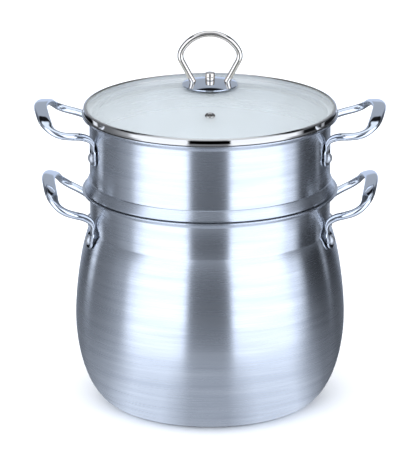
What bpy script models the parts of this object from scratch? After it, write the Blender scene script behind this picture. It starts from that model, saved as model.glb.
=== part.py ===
"""Two-tier belly steamer pot: a bellied aluminium pot, a steamer tier and a glass lid.

The pot stands on z = 0 with its axis on +Z. The steamer tier sits on the pot's rim and
the lid sits on the steamer's rim, so both lift straight up. Each tier has two chromed
rod handles, on +X and -X, whose flattened ends are riveted to the wall.
"""

import math

import bmesh
import bpy
from mathutils import Matrix, Vector

MM = 0.001

# Gaps between pieces that touch on the real object.
CONTACT_GAP = 0.3 * MM
PAD_GAP = 0.5 * MM
SPIGOT_CLEARANCE = 0.9 * MM

# Aluminium sheet, and the neck and flared rim that both tiers share.
WALL = 1.5 * MM
NECK_RADIUS = 120.0 * MM
RIM_FLARE = 8.2 * MM
RIM_RADIUS = NECK_RADIUS + RIM_FLARE
RIM_LEDGE = 4.5 * MM
RIM_DROP = 4.5 * MM
RIM_FILLET = 2.5 * MM
LEDGE_FILLET = 1.0 * MM

# Pot.
POT_HEIGHT = 219.0 * MM
NECK_HEIGHT = 38.0 * MM
BELLY_SWELL = 15.0 * MM
BELLY_RADIUS = NECK_RADIUS + BELLY_SWELL
BELLY_HEIGHT = 89.0 * MM
BASE_INSET = 40.5 * MM
BASE_RADIUS = BELLY_RADIUS - BASE_INSET
SHOULDER_ANGLE = math.radians(29.0)
SHOULDER_PULL = 18.0 * MM
UPPER_BELLY_PULL = 26.0 * MM
LOWER_BELLY_PULL = 44.5 * MM
BASE_PULL = 24.5 * MM

# Steamer tier.
STEAMER_HEIGHT = 77.5 * MM
COLLAR_FLARE = 4.8 * MM
COLLAR_RADIUS = NECK_RADIUS + COLLAR_FLARE
COLLAR_HEIGHT = 11.0 * MM
COLLAR_EDGE = 1.4 * MM
CREASE_FILLET = 1.5 * MM
SPIGOT_DEPTH = 22.0 * MM
SPIGOT_FILLET = 5.0 * MM
STEAM_HOLE_RADIUS = 4.0 * MM
STEAM_HOLE_PITCH = 22.0 * MM
STEAM_HOLE_RINGS = 4
STEAM_HOLE_TURN = math.radians(2.5)

# Handles: a rod with a flattened pad at each end and a flattened grip in the middle.
ROD_RADIUS = 3.8 * MM
PAD_RADIUS = 9.3 * MM
PAD_THICKNESS = 2.2 * MM
PAD_SPREAD = 37.5 * MM
PAD_TOP = 15.0 * MM
LEG_SPREAD = 49.8 * MM
HANDLE_REACH = 52.6 * MM
HANDLE_RISE = 42.8 * MM
GRIP_WIDTH = 13.2 * MM
GRIP_THICKNESS = 4.8 * MM
STEAMER_RIVET_DROP = 36.7 * MM
POT_RIVET_DROP = 43.5 * MM

# Rivets.
RIVET_RADIUS = 2.5 * MM
RIVET_HOLE_RADIUS = 2.8 * MM
RIVET_HEAD_RADIUS = 5.2 * MM
RIVET_HEAD_HEIGHT = 3.6 * MM
RIVET_TAIL_RADIUS = 4.0 * MM
RIVET_TAIL_HEIGHT = 1.4 * MM
RIVET_DRILL_LENGTH = 24.0 * MM

# Lid glass and its pressed steel ring.
GLASS_THICKNESS = 4.0 * MM
GLASS_CROWN = 26.5 * MM
GLASS_HOLE_RADIUS = 4.5 * MM
RING_SHEET = 0.8 * MM
RING_OVERHANG = 6.0 * MM
RING_RADIUS = NECK_RADIUS + RING_OVERHANG
RING_LIP = 2.4 * MM
RING_SKIRT = 6.0 * MM
RING_FILLET = 1.0 * MM
RING_CLEARANCE = 0.9 * MM
EDGE_CLEARANCE = 0.6 * MM

# Vent eyelet.
VENT_OFFSET = 80.0 * MM
VENT_HOLE_RADIUS = 3.6 * MM
VENT_TUBE_RADIUS = 3.2 * MM
VENT_BORE_RADIUS = 2.4 * MM
VENT_FLANGE_RADIUS = 5.1 * MM
VENT_FLANGE_HEIGHT = 1.2 * MM

# Knob: a wire loop on a domed saucer, held by a screw through the glass.
LOOP_WIRE_RADIUS = 3.1 * MM
LOOP_TOP_RADIUS = 31.9 * MM
LOOP_TOP_ANGLE = math.radians(60.0)
LOOP_SHOULDER_RADIUS = 12.5 * MM
LOOP_LEG_TILT = math.radians(28.0)
LOOP_LEG_LENGTH = 25.6 * MM
LOOP_HOLE_RADIUS = 3.5 * MM
LOOP_DRILL_LENGTH = 12.0 * MM
SAUCER_RADIUS = 28.0 * MM
SAUCER_RISE = 4.0 * MM
SAUCER_SHEET = 1.2 * MM
SAUCER_LIFT = 2.3 * MM
SCREW_RADIUS = 2.0 * MM
SCREW_HOLE_RADIUS = 2.4 * MM
SCREW_HEAD_RADIUS = 4.6 * MM
SCREW_HEAD_HEIGHT = 2.4 * MM
NUT_RADIUS = 5.0 * MM
NUT_HEIGHT = 7.2 * MM
NUT_CHAMFER = 0.8 * MM
NUT_CAP = 1.5 * MM
WASHER_RADIUS = 7.0 * MM
WASHER_THICKNESS = 1.0 * MM
GASKET_RADIUS = 9.5 * MM
GASKET_THICKNESS = 1.6 * MM

# Facets: shells and the lid share one count, so their gaps stay even all round.
SHELL_SEGMENTS = 36
SMALL_SEGMENTS = 16
SAUCER_SEGMENTS = 24
RIVET_SEGMENTS = 10
STEAM_HOLE_SEGMENTS = 6
BELLY_STEPS = 6
CROWN_STEPS = 5
FILLET_STEPS = 2
ARC_STEPS = 3
SAUCER_STEPS = 4
SECTION_POINTS = 10

# Axial places that follow from the sizes above.
STEAMER_SEAT_Z = POT_HEIGHT + CONTACT_GAP
LID_SEAT_Z = STEAMER_SEAT_Z + STEAMER_HEIGHT + CONTACT_GAP
FACET_SAG = NECK_RADIUS * (1.0 - math.cos(math.pi / SHELL_SEGMENTS))


def clear_scene():
    """Remove the objects and collections that a new file starts with."""
    for obj in list(bpy.data.objects):
        bpy.data.objects.remove(obj, do_unlink=True)
    for collection in list(bpy.data.collections):
        bpy.data.collections.remove(collection)


def new_collection(name):
    """Make a collection in the scene."""
    collection = bpy.data.collections.new(name)
    bpy.context.scene.collection.children.link(collection)
    return collection


clear_scene()
PARTS = new_collection("steamer_pot")
CUTTERS = new_collection("cutters")


def make_material(name, colour, roughness, metallic, transmission=0.0):
    """Make a Principled material."""
    mat = bpy.data.materials.new(name)
    mat.use_nodes = True
    shader = mat.node_tree.nodes["Principled BSDF"]
    shader.inputs["Base Color"].default_value = (*colour, 1.0)
    shader.inputs["Roughness"].default_value = roughness
    shader.inputs["Metallic"].default_value = metallic
    shader.inputs["Transmission Weight"].default_value = transmission
    mat.diffuse_color = (*colour, 1.0)
    return mat


ALUMINIUM = make_material("brushed_aluminium", (0.78, 0.79, 0.81), 0.32, 1.0)
RIVET_METAL = make_material("rivet_aluminium", (0.62, 0.63, 0.65), 0.38, 1.0)
CHROME = make_material("chromed_steel", (0.85, 0.86, 0.88), 0.08, 1.0)
STEEL = make_material("polished_steel", (0.68, 0.68, 0.68), 0.2, 1.0)
GLASS = make_material("clear_glass", (0.9, 0.96, 0.97), 0.03, 0.0, 0.9)
SILICONE = make_material("grey_silicone", (0.25, 0.25, 0.26), 0.7, 0.0)


def add_object(name, mesh, mat, parent=None, collection=PARTS):
    """Put a mesh in the scene under a name, with a material and a parent."""
    obj = bpy.data.objects.new(name, mesh)
    collection.objects.link(obj)
    obj.parent = parent
    if mat is not None:
        obj.data.materials.append(mat)
    return obj


def add_seat(name, height):
    """Add an empty on the pot's axis, where a tier or the lid rests."""
    seat = bpy.data.objects.new(name, None)
    PARTS.objects.link(seat)
    seat.location = (0.0, 0.0, height)
    return seat


def turned(name, line, segments, mat, parent=None, closed=False):
    """Turn a line of (radius, height) points about Z with a Screw modifier."""
    mesh = bpy.data.meshes.new(name)
    count = len(line)
    edges = [(i, i + 1) for i in range(count - 1)]
    if closed:
        edges.append((count - 1, 0))
    mesh.from_pydata([(r, 0.0, z) for r, z in line], edges, [])
    obj = add_object(name, mesh, mat, parent)
    screw = obj.modifiers.new("turn", "SCREW")
    screw.axis = "Z"
    screw.angle = math.tau
    screw.steps = segments
    screw.render_steps = segments
    screw.use_merge_vertices = True
    screw.merge_threshold = 0.00001
    screw.use_smooth_shade = True
    return obj


def thicken(obj, thickness):
    """Give a turned line a sheet's thickness, inwards."""
    shell = obj.modifiers.new("sheet", "SOLIDIFY")
    shell.thickness = thickness
    shell.offset = -1.0
    shell.use_even_offset = True
    return obj


def cut(obj, cutter):
    """Cut an object with a Boolean."""
    boolean = obj.modifiers.new(cutter.name, "BOOLEAN")
    boolean.operation = "DIFFERENCE"
    boolean.solver = "EXACT"
    boolean.object = cutter
    return obj


def drill(name, frames, radius, length, segments, parent=None):
    """Make one cutter of separate cylinders, each centred on a frame's Z axis."""
    drills = bmesh.new()
    for frame in frames:
        bmesh.ops.create_cone(drills, cap_ends=True, segments=segments, radius1=radius,
                              radius2=radius, depth=length, matrix=frame)
    mesh = bpy.data.meshes.new(name)
    drills.to_mesh(mesh)
    drills.free()
    cutter = add_object(name, mesh, None, parent, CUTTERS)
    cutter.hide_render = True
    cutter.display_type = "WIRE"
    return cutter


def filleted(corners):
    """Round the inner corners of a line; each corner is (radius, height, fillet)."""
    points = [corners[0][:2]]
    for before, corner, after in zip(corners, corners[1:], corners[2:]):
        here = Vector(corner[:2])
        back = (Vector(before[:2]) - here).normalized()
        ahead = (Vector(after[:2]) - here).normalized()
        half = 0.5 * back.angle(ahead)
        if corner[2] <= 0.0 or half > math.radians(89.0):
            points.append(tuple(here))
            continue
        centre = here + (back + ahead).normalized() * (corner[2] / math.sin(half))
        reach = corner[2] / math.tan(half)
        start = here + back * reach - centre
        finish = here + ahead * reach - centre
        sweep = finish.angle_signed(start)
        for step in range(FILLET_STEPS + 1):
            spoke = Matrix.Rotation(sweep * step / FILLET_STEPS, 2) @ start
            points.append(tuple(centre + spoke))
    points.append(corners[-1][:2])
    return points


def bezier(start, pull_out, pull_in, finish, steps):
    """Points of a cubic curve after its start."""
    points = []
    for step in range(1, steps + 1):
        t = step / steps
        s = 1.0 - t
        weights = (s ** 3, 3 * s * s * t, 3 * s * t * t, t ** 3)
        knots = (start, pull_out, pull_in, finish)
        points.append(tuple(sum(w * k[i] for w, k in zip(weights, knots)) for i in (0, 1)))
    return points


def rim_corners(top):
    """Flared rim of a tier: ledge, cone and the start of the straight wall."""
    ledge = RIM_RADIUS - RIM_LEDGE
    under = top - WALL
    return [
        (RIM_RADIUS, under, 0.0),
        (ledge, under, LEDGE_FILLET),
        (NECK_RADIUS, under - RIM_DROP, RIM_FILLET),
    ]


def pot_line():
    """Outside of the pot, from the rim down to the centre of the base."""
    foot = POT_HEIGHT - NECK_HEIGHT
    neck = filleted(rim_corners(POT_HEIGHT) + [(NECK_RADIUS, foot, 0.0)])
    shoulder = bezier(
        (NECK_RADIUS, foot),
        (NECK_RADIUS + SHOULDER_PULL * math.sin(SHOULDER_ANGLE),
         foot - SHOULDER_PULL * math.cos(SHOULDER_ANGLE)),
        (BELLY_RADIUS, BELLY_HEIGHT + UPPER_BELLY_PULL),
        (BELLY_RADIUS, BELLY_HEIGHT),
        BELLY_STEPS,
    )
    bowl = bezier(
        (BELLY_RADIUS, BELLY_HEIGHT),
        (BELLY_RADIUS, BELLY_HEIGHT - LOWER_BELLY_PULL),
        (BASE_RADIUS + BASE_PULL, 0.0),
        (BASE_RADIUS, 0.0),
        BELLY_STEPS,
    )
    return neck + shoulder + bowl + [(0.0, 0.0)]


def steamer_line():
    """Outside of the steamer, from its rim to its floor's middle hole; its seat is z = 0."""
    spigot = NECK_RADIUS - WALL - SPIGOT_CLEARANCE
    corners = rim_corners(STEAMER_HEIGHT) + [
        (NECK_RADIUS, COLLAR_HEIGHT, CREASE_FILLET),
        (COLLAR_RADIUS, COLLAR_EDGE, 0.0),
        (COLLAR_RADIUS, 0.0, 0.0),
        (spigot, 0.0, 0.0),
        (spigot, -SPIGOT_DEPTH, SPIGOT_FILLET),
        (STEAM_HOLE_RADIUS, -SPIGOT_DEPTH, 0.0),
    ]
    return filleted(corners)


def wall_radius(line, height):
    """Outer radius of a turned line at a height."""
    found = 0.0
    for (r0, z0), (r1, z1) in zip(line, line[1:]):
        if z0 != z1 and min(z0, z1) <= height <= max(z0, z1):
            found = max(found, r0 + (r1 - r0) * (height - z0) / (z1 - z0))
    return found


def pad_seat(line, height):
    """Place a flat pad against a turned wall at a rivet height.

    Returns the radius of the pad's inner face at that height, the pad's tilt, the slack
    left to the wall behind the rivet, and the angle between the wall and the pad.
    """
    top = height + PAD_TOP
    top_radius = wall_radius(line, top)
    slope = 0.0
    samples = 12
    for sample in range(1, samples + 1):
        drop = (PAD_TOP + PAD_RADIUS) * sample / samples
        slope = max(slope, (wall_radius(line, top - drop) - top_radius) / drop)
    radius = top_radius + slope * PAD_TOP
    slack = radius - wall_radius(line, height)
    near = RIVET_TAIL_RADIUS
    rise = wall_radius(line, height - near) - wall_radius(line, height + near)
    lean = abs(math.atan2(rise, 2.0 * near) - math.atan(slope))
    return radius, math.atan(slope), slack, lean


def handle_stations():
    """Sections along half a handle, from the pad's foot to the middle of the grip.

    Each is (out, across, up, half width, half thickness, squareness). Out and up start
    at the middle of the pad's thickness, at the rivet.
    """
    pad = PAD_THICKNESS / 2.0
    grip_half = GRIP_WIDTH / 2.0
    grip_thin = GRIP_THICKNESS / 2.0
    rod = ROD_RADIUS
    reach = HANDLE_REACH
    rise = HANDLE_RISE
    splay = LEG_SPREAD - PAD_SPREAD
    return [
        (0.0, PAD_SPREAD, -0.96 * PAD_RADIUS, 0.35 * PAD_RADIUS, pad, 5.0),
        (0.0, PAD_SPREAD, -0.68 * PAD_RADIUS, 0.76 * PAD_RADIUS, pad, 5.0),
        (0.0, PAD_SPREAD, 0.0, PAD_RADIUS, pad, 5.0),
        (0.0, PAD_SPREAD, 0.18 * rise, 0.85 * PAD_RADIUS, pad, 4.0),
        (0.012 * reach, PAD_SPREAD, 0.32 * rise, 1.45 * rod, 1.5 * pad, 3.0),
        (0.075 * reach, PAD_SPREAD + 0.12 * splay, 0.45 * rise, 1.1 * rod, 0.87 * rod, 2.2),
        (0.21 * reach, PAD_SPREAD + 0.38 * splay, 0.53 * rise, rod, rod, 2.0),
        (0.38 * reach, PAD_SPREAD + 0.76 * splay, 0.57 * rise, rod, rod, 2.0),
        (0.56 * reach, LEG_SPREAD, 0.61 * rise, rod, rod, 2.0),
        (0.71 * reach, 0.997 * LEG_SPREAD, 0.68 * rise, 1.1 * rod, 0.95 * rod, 2.2),
        (0.82 * reach, 0.93 * LEG_SPREAD, 0.78 * rise, 0.8 * grip_half, 1.3 * grip_thin, 2.6),
        (0.89 * reach, 0.78 * LEG_SPREAD, 0.87 * rise, 0.95 * grip_half, 1.1 * grip_thin, 3.0),
        (0.96 * reach, 0.42 * LEG_SPREAD, 0.965 * rise, grip_half, grip_thin, 3.2),
        (reach, 0.0, rise, grip_half, grip_thin, 3.2),
    ]


def section_loop(centre, across, through, half_width, half_thickness, squareness):
    """Rounded section of a handle as a loop of points."""
    loop = []
    for index in range(SECTION_POINTS):
        angle = math.tau * (index + 0.5) / SECTION_POINTS
        wide = math.copysign(abs(math.cos(angle)) ** (2.0 / squareness), math.cos(angle))
        thin = math.copysign(abs(math.sin(angle)) ** (2.0 / squareness), math.sin(angle))
        loop.append(centre + across * (half_width * wide) + through * (half_thickness * thin))
    return loop


def handle_mesh(name, pad_angle):
    """Half of a handle as a loft, open on the mirror plane y = 0."""
    stations = handle_stations()
    centres = [Vector(station[:3]) for station in stations]
    centres.append(centres[-2] * Vector((1.0, -1.0, 1.0)))
    radial = Vector((math.cos(pad_angle), math.sin(pad_angle), 0.0))
    loft = bmesh.new()
    rings = []
    for index, station in enumerate(stations):
        tangent = (centres[index + 1] - centres[max(index - 1, 0)]).normalized()
        heading = Vector((tangent.x, tangent.y, 0.0))
        if heading.length < 0.2:
            heading = radial
        across = Vector((0.0, 0.0, 1.0)).cross(heading).normalized()
        through = tangent.cross(across).normalized()
        loop = section_loop(centres[index], across, through, *station[3:])
        rings.append([loft.verts.new(point) for point in loop])
    for ring, following in zip(rings, rings[1:]):
        for index in range(SECTION_POINTS):
            after = (index + 1) % SECTION_POINTS
            loft.faces.new((ring[index], ring[after], following[after], following[index]))
    loft.faces.new(list(reversed(rings[0])))
    bmesh.ops.recalc_face_normals(loft, faces=loft.faces)
    mesh = bpy.data.meshes.new(name)
    loft.to_mesh(mesh)
    loft.free()
    mesh.shade_smooth()
    return mesh


def rivet_line(grip):
    """Rivet about its own axis: domed head above z = 0, shank, and tail at -grip."""
    dome = []
    for step in range(ARC_STEPS + 1):
        angle = 0.5 * math.pi * step / ARC_STEPS
        dome.append((RIVET_HEAD_RADIUS * math.sin(angle),
                     CONTACT_GAP + RIVET_HEAD_HEIGHT * math.cos(angle)))
    return dome + [
        (RIVET_RADIUS, CONTACT_GAP),
        (RIVET_RADIUS, -grip),
        (RIVET_TAIL_RADIUS, -grip),
        (RIVET_TAIL_RADIUS, -grip - 0.6 * RIVET_TAIL_HEIGHT),
        (0.6 * RIVET_TAIL_RADIUS, -grip - RIVET_TAIL_HEIGHT),
        (0.0, -grip - RIVET_TAIL_HEIGHT),
    ]


def add_handles(tier, shell, line, rivet_height, parent):
    """Add a tier's two handles with their rivets, and drill the wall and the pads."""
    radius, tilt, slack, lean = pad_seat(line, rivet_height)
    middle = radius + (PAD_GAP + PAD_THICKNESS / 2.0) / math.cos(tilt)
    pad_angle = math.asin(PAD_SPREAD / middle)
    shank = (PAD_THICKNESS + PAD_GAP + slack + WALL / math.cos(lean) + FACET_SAG
             + RIVET_TAIL_RADIUS * math.tan(lean) + CONTACT_GAP)
    rivet_frames = []
    bars = []
    for side, turn in (("right", 0.0), ("left", math.pi)):
        frame = (
            Matrix.Rotation(turn, 4, "Z")
            @ Matrix.Translation((middle * math.cos(pad_angle), 0.0, rivet_height))
            @ Matrix.Rotation(-tilt, 4, "Y")
        )
        bar_name = f"{tier}_handle_{side}"
        bar = add_object(bar_name, handle_mesh(bar_name, pad_angle), CHROME, parent)
        bar.matrix_local = frame
        mirror = bar.modifiers.new("other_half", "MIRROR")
        mirror.use_axis = (False, True, False)
        mirror.merge_threshold = 0.00001
        bars.append(bar)
        for end, sign in (("front", -1.0), ("back", 1.0)):
            reach = sign if side == "right" else -sign
            normal = Vector((math.cos(pad_angle), reach * math.sin(pad_angle), 0.0))
            turned_up = normal.to_track_quat("Z", "Y").to_matrix().to_4x4()
            place = Matrix.Translation((0.0, reach * PAD_SPREAD, 0.0))
            rivet_frames.append(frame @ place @ turned_up)
            rivet = turned(f"{tier}_rivet_{side}_{end}", rivet_line(shank), RIVET_SEGMENTS,
                           RIVET_METAL, parent)
            lift = Matrix.Translation((0.0, 0.0, PAD_THICKNESS / 2.0))
            rivet.matrix_local = rivet_frames[-1] @ lift
    cutter = drill(f"{tier}_rivet_drills", rivet_frames, RIVET_HOLE_RADIUS,
                   RIVET_DRILL_LENGTH, RIVET_SEGMENTS, parent)
    for obj in [shell, *bars]:
        cut(obj, cutter)


def build_pot():
    """Pot: shell, handles and rivets."""
    line = pot_line()
    shell = thicken(turned("pot_shell", line, SHELL_SEGMENTS, ALUMINIUM), WALL)
    add_handles("pot", shell, line, POT_HEIGHT - POT_RIVET_DROP, None)


def steam_hole_frames():
    """Rings of holes round the floor's middle hole, six more in each ring.

    A small turn keeps the holes off the shell's facet edges.
    """
    floor = -SPIGOT_DEPTH + WALL / 2.0
    frames = []
    for ring in range(1, STEAM_HOLE_RINGS + 1):
        for index in range(6 * ring):
            angle = math.tau * index / (6 * ring) + STEAM_HOLE_TURN
            radius = ring * STEAM_HOLE_PITCH
            frames.append(Matrix.Translation(
                (radius * math.cos(angle), radius * math.sin(angle), floor)))
    return frames


def build_steamer(seat):
    """Steamer tier: perforated shell, handles and rivets."""
    line = steamer_line()
    shell = thicken(turned("steamer_shell", line, SHELL_SEGMENTS, ALUMINIUM, seat), WALL)
    add_handles("steamer", shell, line, STEAMER_HEIGHT - STEAMER_RIVET_DROP, seat)
    cut(shell, drill("steam_holes", steam_hole_frames(), STEAM_HOLE_RADIUS, 4.0 * WALL,
                     STEAM_HOLE_SEGMENTS, seat))


def glass_radius():
    """Outer radius of the lid glass inside its ring."""
    return RING_RADIUS - RING_SHEET - EDGE_CLEARANCE


def glass_edge_top():
    """Height of the glass's upper edge above the lid's seat."""
    return RING_SHEET + CONTACT_GAP + GLASS_THICKNESS


def crown_radius():
    """Radius of the sphere that the glass's upper face lies on."""
    rise = GLASS_CROWN - glass_edge_top()
    return (glass_radius() ** 2 + rise ** 2) / (2.0 * rise)


def glass_top(radius):
    """Height of the glass's upper face at a radius."""
    sphere = crown_radius()
    return GLASS_CROWN - sphere + math.sqrt(sphere ** 2 - radius ** 2)


def build_glass(seat):
    """Domed glass with a centre hole and a vent hole."""
    spread = glass_radius() - GLASS_HOLE_RADIUS
    shares = [step / CROWN_STEPS for step in range(CROWN_STEPS + 1)]
    radii = [GLASS_HOLE_RADIUS + spread * share for share in shares]
    top = [(radius, glass_top(radius)) for radius in radii]
    under = [(radius, glass_top(radius) - GLASS_THICKNESS) for radius in reversed(radii)]
    glass = turned("lid_glass", top + under, SHELL_SEGMENTS, GLASS, seat, closed=True)
    cut(glass, drill("vent_hole", [vent_frame()], VENT_HOLE_RADIUS, 4.0 * GLASS_THICKNESS,
                     SMALL_SEGMENTS, seat))


def build_ring(seat):
    """Pressed ring round the glass, with a skirt that drops into the steamer's mouth."""
    lip = RING_RADIUS - RING_LIP
    skirt = NECK_RADIUS - WALL - RING_CLEARANCE
    slope = (glass_top(lip) - glass_edge_top()) / (glass_radius() - lip)
    cover = (RING_SHEET + 2.0 * CONTACT_GAP) * math.hypot(1.0, slope)
    shoulder = glass_edge_top() + cover - slope * (RING_RADIUS - glass_radius())
    line = filleted([
        (lip, glass_top(lip) + cover, 0.0),
        (RING_RADIUS, shoulder, RING_FILLET),
        (RING_RADIUS, 0.0, 0.0),
        (skirt, 0.0, 0.0),
        (skirt, -RING_SKIRT, 0.0),
    ])
    thicken(turned("lid_ring", line, SHELL_SEGMENTS, STEEL, seat), RING_SHEET)


def vent_frame():
    """Frame on the glass's upper face at the vent, Z along the glass's normal."""
    normal_tilt = math.asin(VENT_OFFSET / crown_radius())
    return (
        Matrix.Translation((0.0, -VENT_OFFSET, glass_top(VENT_OFFSET)))
        @ Matrix.Rotation(normal_tilt, 4, "X")
    )


def build_vent(seat):
    """Hollow eyelet rolled over both faces of the glass."""
    gap = CONTACT_GAP
    flange = VENT_FLANGE_HEIGHT
    under = -GLASS_THICKNESS - gap
    line = [
        (VENT_BORE_RADIUS, gap + flange),
        (0.7 * VENT_FLANGE_RADIUS, gap + flange),
        (VENT_FLANGE_RADIUS, gap + 0.4 * flange),
        (VENT_FLANGE_RADIUS, gap),
        (VENT_TUBE_RADIUS, gap),
        (VENT_TUBE_RADIUS, under),
        (0.9 * VENT_FLANGE_RADIUS, under),
        (0.9 * VENT_FLANGE_RADIUS, under - 0.5 * flange),
        (VENT_BORE_RADIUS, under - flange),
    ]
    eyelet = turned("lid_vent_eyelet", line, SMALL_SEGMENTS, STEEL, seat, closed=True)
    eyelet.matrix_local = vent_frame()


def saucer_rim():
    """Height of the saucer's lower edge above the lid's seat."""
    return glass_top(SAUCER_RADIUS) + SAUCER_LIFT


def saucer_top(radius):
    """Height of the saucer's upper face at a radius."""
    share = radius / SAUCER_RADIUS
    return saucer_rim() + SAUCER_SHEET + SAUCER_RISE * (1.0 - share * share)


def ring_line(outer, inner, low, high):
    """Rectangular section of a washer or gasket."""
    return [(inner, high), (outer, high), (outer, low), (inner, low)]


def loop_route():
    """Half of the loop's wire, from the foot up to the top, as (across, up) points.

    The top arc's centre is the origin here; the leg's foot is the first point.
    """
    top_end = Vector((math.sin(LOOP_TOP_ANGLE), math.cos(LOOP_TOP_ANGLE)))
    shoulder_centre = top_end * (LOOP_TOP_RADIUS - LOOP_SHOULDER_RADIUS)
    points = []
    leg_angle = 0.5 * math.pi + LOOP_LEG_TILT
    leg_top = shoulder_centre + LOOP_SHOULDER_RADIUS * Vector(
        (math.sin(leg_angle), math.cos(leg_angle)))
    leg = Vector((-math.sin(LOOP_LEG_TILT), -math.cos(LOOP_LEG_TILT)))
    points.append(leg_top + leg * LOOP_LEG_LENGTH)
    for step in range(ARC_STEPS + 1):
        angle = leg_angle + (LOOP_TOP_ANGLE - leg_angle) * step / ARC_STEPS
        points.append(shoulder_centre + LOOP_SHOULDER_RADIUS * Vector(
            (math.sin(angle), math.cos(angle))))
    top_steps = 2 * ARC_STEPS
    for step in range(1, top_steps + 1):
        angle = LOOP_TOP_ANGLE * (1.0 - step / top_steps)
        points.append(LOOP_TOP_RADIUS * Vector((math.sin(angle), math.cos(angle))))
    return points


def build_loop(seat, saucer):
    """Wire loop whose feet pass through the saucer, peened under it."""
    half = loop_route()
    foot = half[0]
    foot_height = saucer_top(foot.x) - 2.0 * SAUCER_SHEET
    base = foot_height - foot.y
    route = [(point.x, point.y + base) for point in half]
    route += [(-x, z) for x, z in reversed(route[:-1])]
    curve = bpy.data.curves.new("knob_loop", "CURVE")
    curve.dimensions = "3D"
    curve.bevel_depth = LOOP_WIRE_RADIUS
    curve.bevel_resolution = 2
    curve.use_fill_caps = True
    spline = curve.splines.new("POLY")
    spline.points.add(len(route) - 1)
    for point, (x, z) in zip(spline.points, route):
        point.co = (x, 0.0, z, 1.0)
    loop = bpy.data.objects.new("knob_loop", curve)
    PARTS.objects.link(loop)
    loop.parent = seat
    curve.materials.append(CHROME)
    frames = []
    for side in (1.0, -1.0):
        frames.append(
            Matrix.Translation((side * foot.x, 0.0, foot_height))
            @ Matrix.Rotation(side * LOOP_LEG_TILT, 4, "Y")
        )
    cut(saucer, drill("loop_holes", frames, LOOP_HOLE_RADIUS, LOOP_DRILL_LENGTH,
                      RIVET_SEGMENTS, seat))


def build_knob(seat):
    """Saucer, loop, nut, screw, washer and gaskets on the lid's axis."""
    spread = SAUCER_RADIUS - SCREW_HOLE_RADIUS
    shares = [step / SAUCER_STEPS for step in range(SAUCER_STEPS + 1)]
    radii = [SCREW_HOLE_RADIUS + spread * share for share in shares]
    top = [(radius, saucer_top(radius)) for radius in radii]
    under = [(radius, saucer_top(radius) - SAUCER_SHEET) for radius in reversed(radii)]
    saucer = turned("knob_saucer", top + under, SAUCER_SEGMENTS, CHROME, seat, closed=True)
    build_loop(seat, saucer)

    nut_low = saucer_top(SCREW_HOLE_RADIUS) + CONTACT_GAP
    nut_high = nut_low + NUT_HEIGHT
    bore_top = nut_high - NUT_CAP
    turned("knob_nut", [
        (0.0, nut_high),
        (NUT_RADIUS - NUT_CHAMFER, nut_high),
        (NUT_RADIUS, nut_high - NUT_CHAMFER),
        (NUT_RADIUS, nut_low),
        (SCREW_HOLE_RADIUS, nut_low),
        (SCREW_HOLE_RADIUS, bore_top),
        (0.0, bore_top),
    ], SMALL_SEGMENTS, STEEL, seat)

    upper_low = glass_top(GLASS_HOLE_RADIUS) + 2.0 * CONTACT_GAP
    upper_high = saucer_top(GASKET_RADIUS) - SAUCER_SHEET - CONTACT_GAP
    turned("knob_gasket_upper",
           ring_line(GASKET_RADIUS, SCREW_HOLE_RADIUS, upper_low, upper_high),
           SMALL_SEGMENTS, SILICONE, seat, closed=True)

    glass_under = glass_top(GASKET_RADIUS) - GLASS_THICKNESS
    gasket_high = glass_under - CONTACT_GAP
    gasket_low = gasket_high - GASKET_THICKNESS
    turned("knob_gasket_lower",
           ring_line(GASKET_RADIUS, SCREW_HOLE_RADIUS, gasket_low, gasket_high),
           SMALL_SEGMENTS, SILICONE, seat, closed=True)
    washer_high = gasket_low - CONTACT_GAP
    washer_low = washer_high - WASHER_THICKNESS
    turned("knob_washer",
           ring_line(WASHER_RADIUS, SCREW_HOLE_RADIUS, washer_low, washer_high),
           SMALL_SEGMENTS, STEEL, seat, closed=True)
    head_high = washer_low - CONTACT_GAP
    head_low = head_high - SCREW_HEAD_HEIGHT
    turned("knob_screw", [
        (0.0, bore_top - CONTACT_GAP),
        (SCREW_RADIUS, bore_top - CONTACT_GAP),
        (SCREW_RADIUS, head_high),
        (SCREW_HEAD_RADIUS, head_high),
        (SCREW_HEAD_RADIUS, head_high - 0.6 * SCREW_HEAD_HEIGHT),
        (0.7 * SCREW_HEAD_RADIUS, head_low),
        (0.0, head_low),
    ], SMALL_SEGMENTS, STEEL, seat)


def build_lid(seat):
    """Lid: glass, ring, vent eyelet and knob."""
    build_glass(seat)
    build_ring(seat)
    build_vent(seat)
    build_knob(seat)


build_pot()
build_steamer(add_seat("steamer_seat", STEAMER_SEAT_Z))
build_lid(add_seat("lid_seat", LID_SEAT_Z))
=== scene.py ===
"""Two-tier belly steamer pot: a bellied aluminium pot, a perforated steamer tier and a glass lid.

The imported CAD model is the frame. Each class below builds one sub-assembly's visible pieces
over it in metres, with the pot's axis on +Z and its base on z = 0, and dresses them.
"""

import logging
import math
from collections.abc import Sequence
from dataclasses import dataclass, field
from enum import Enum
from typing import Any

import bmesh
import bpy
from mathutils import Matrix, Vector

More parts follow.
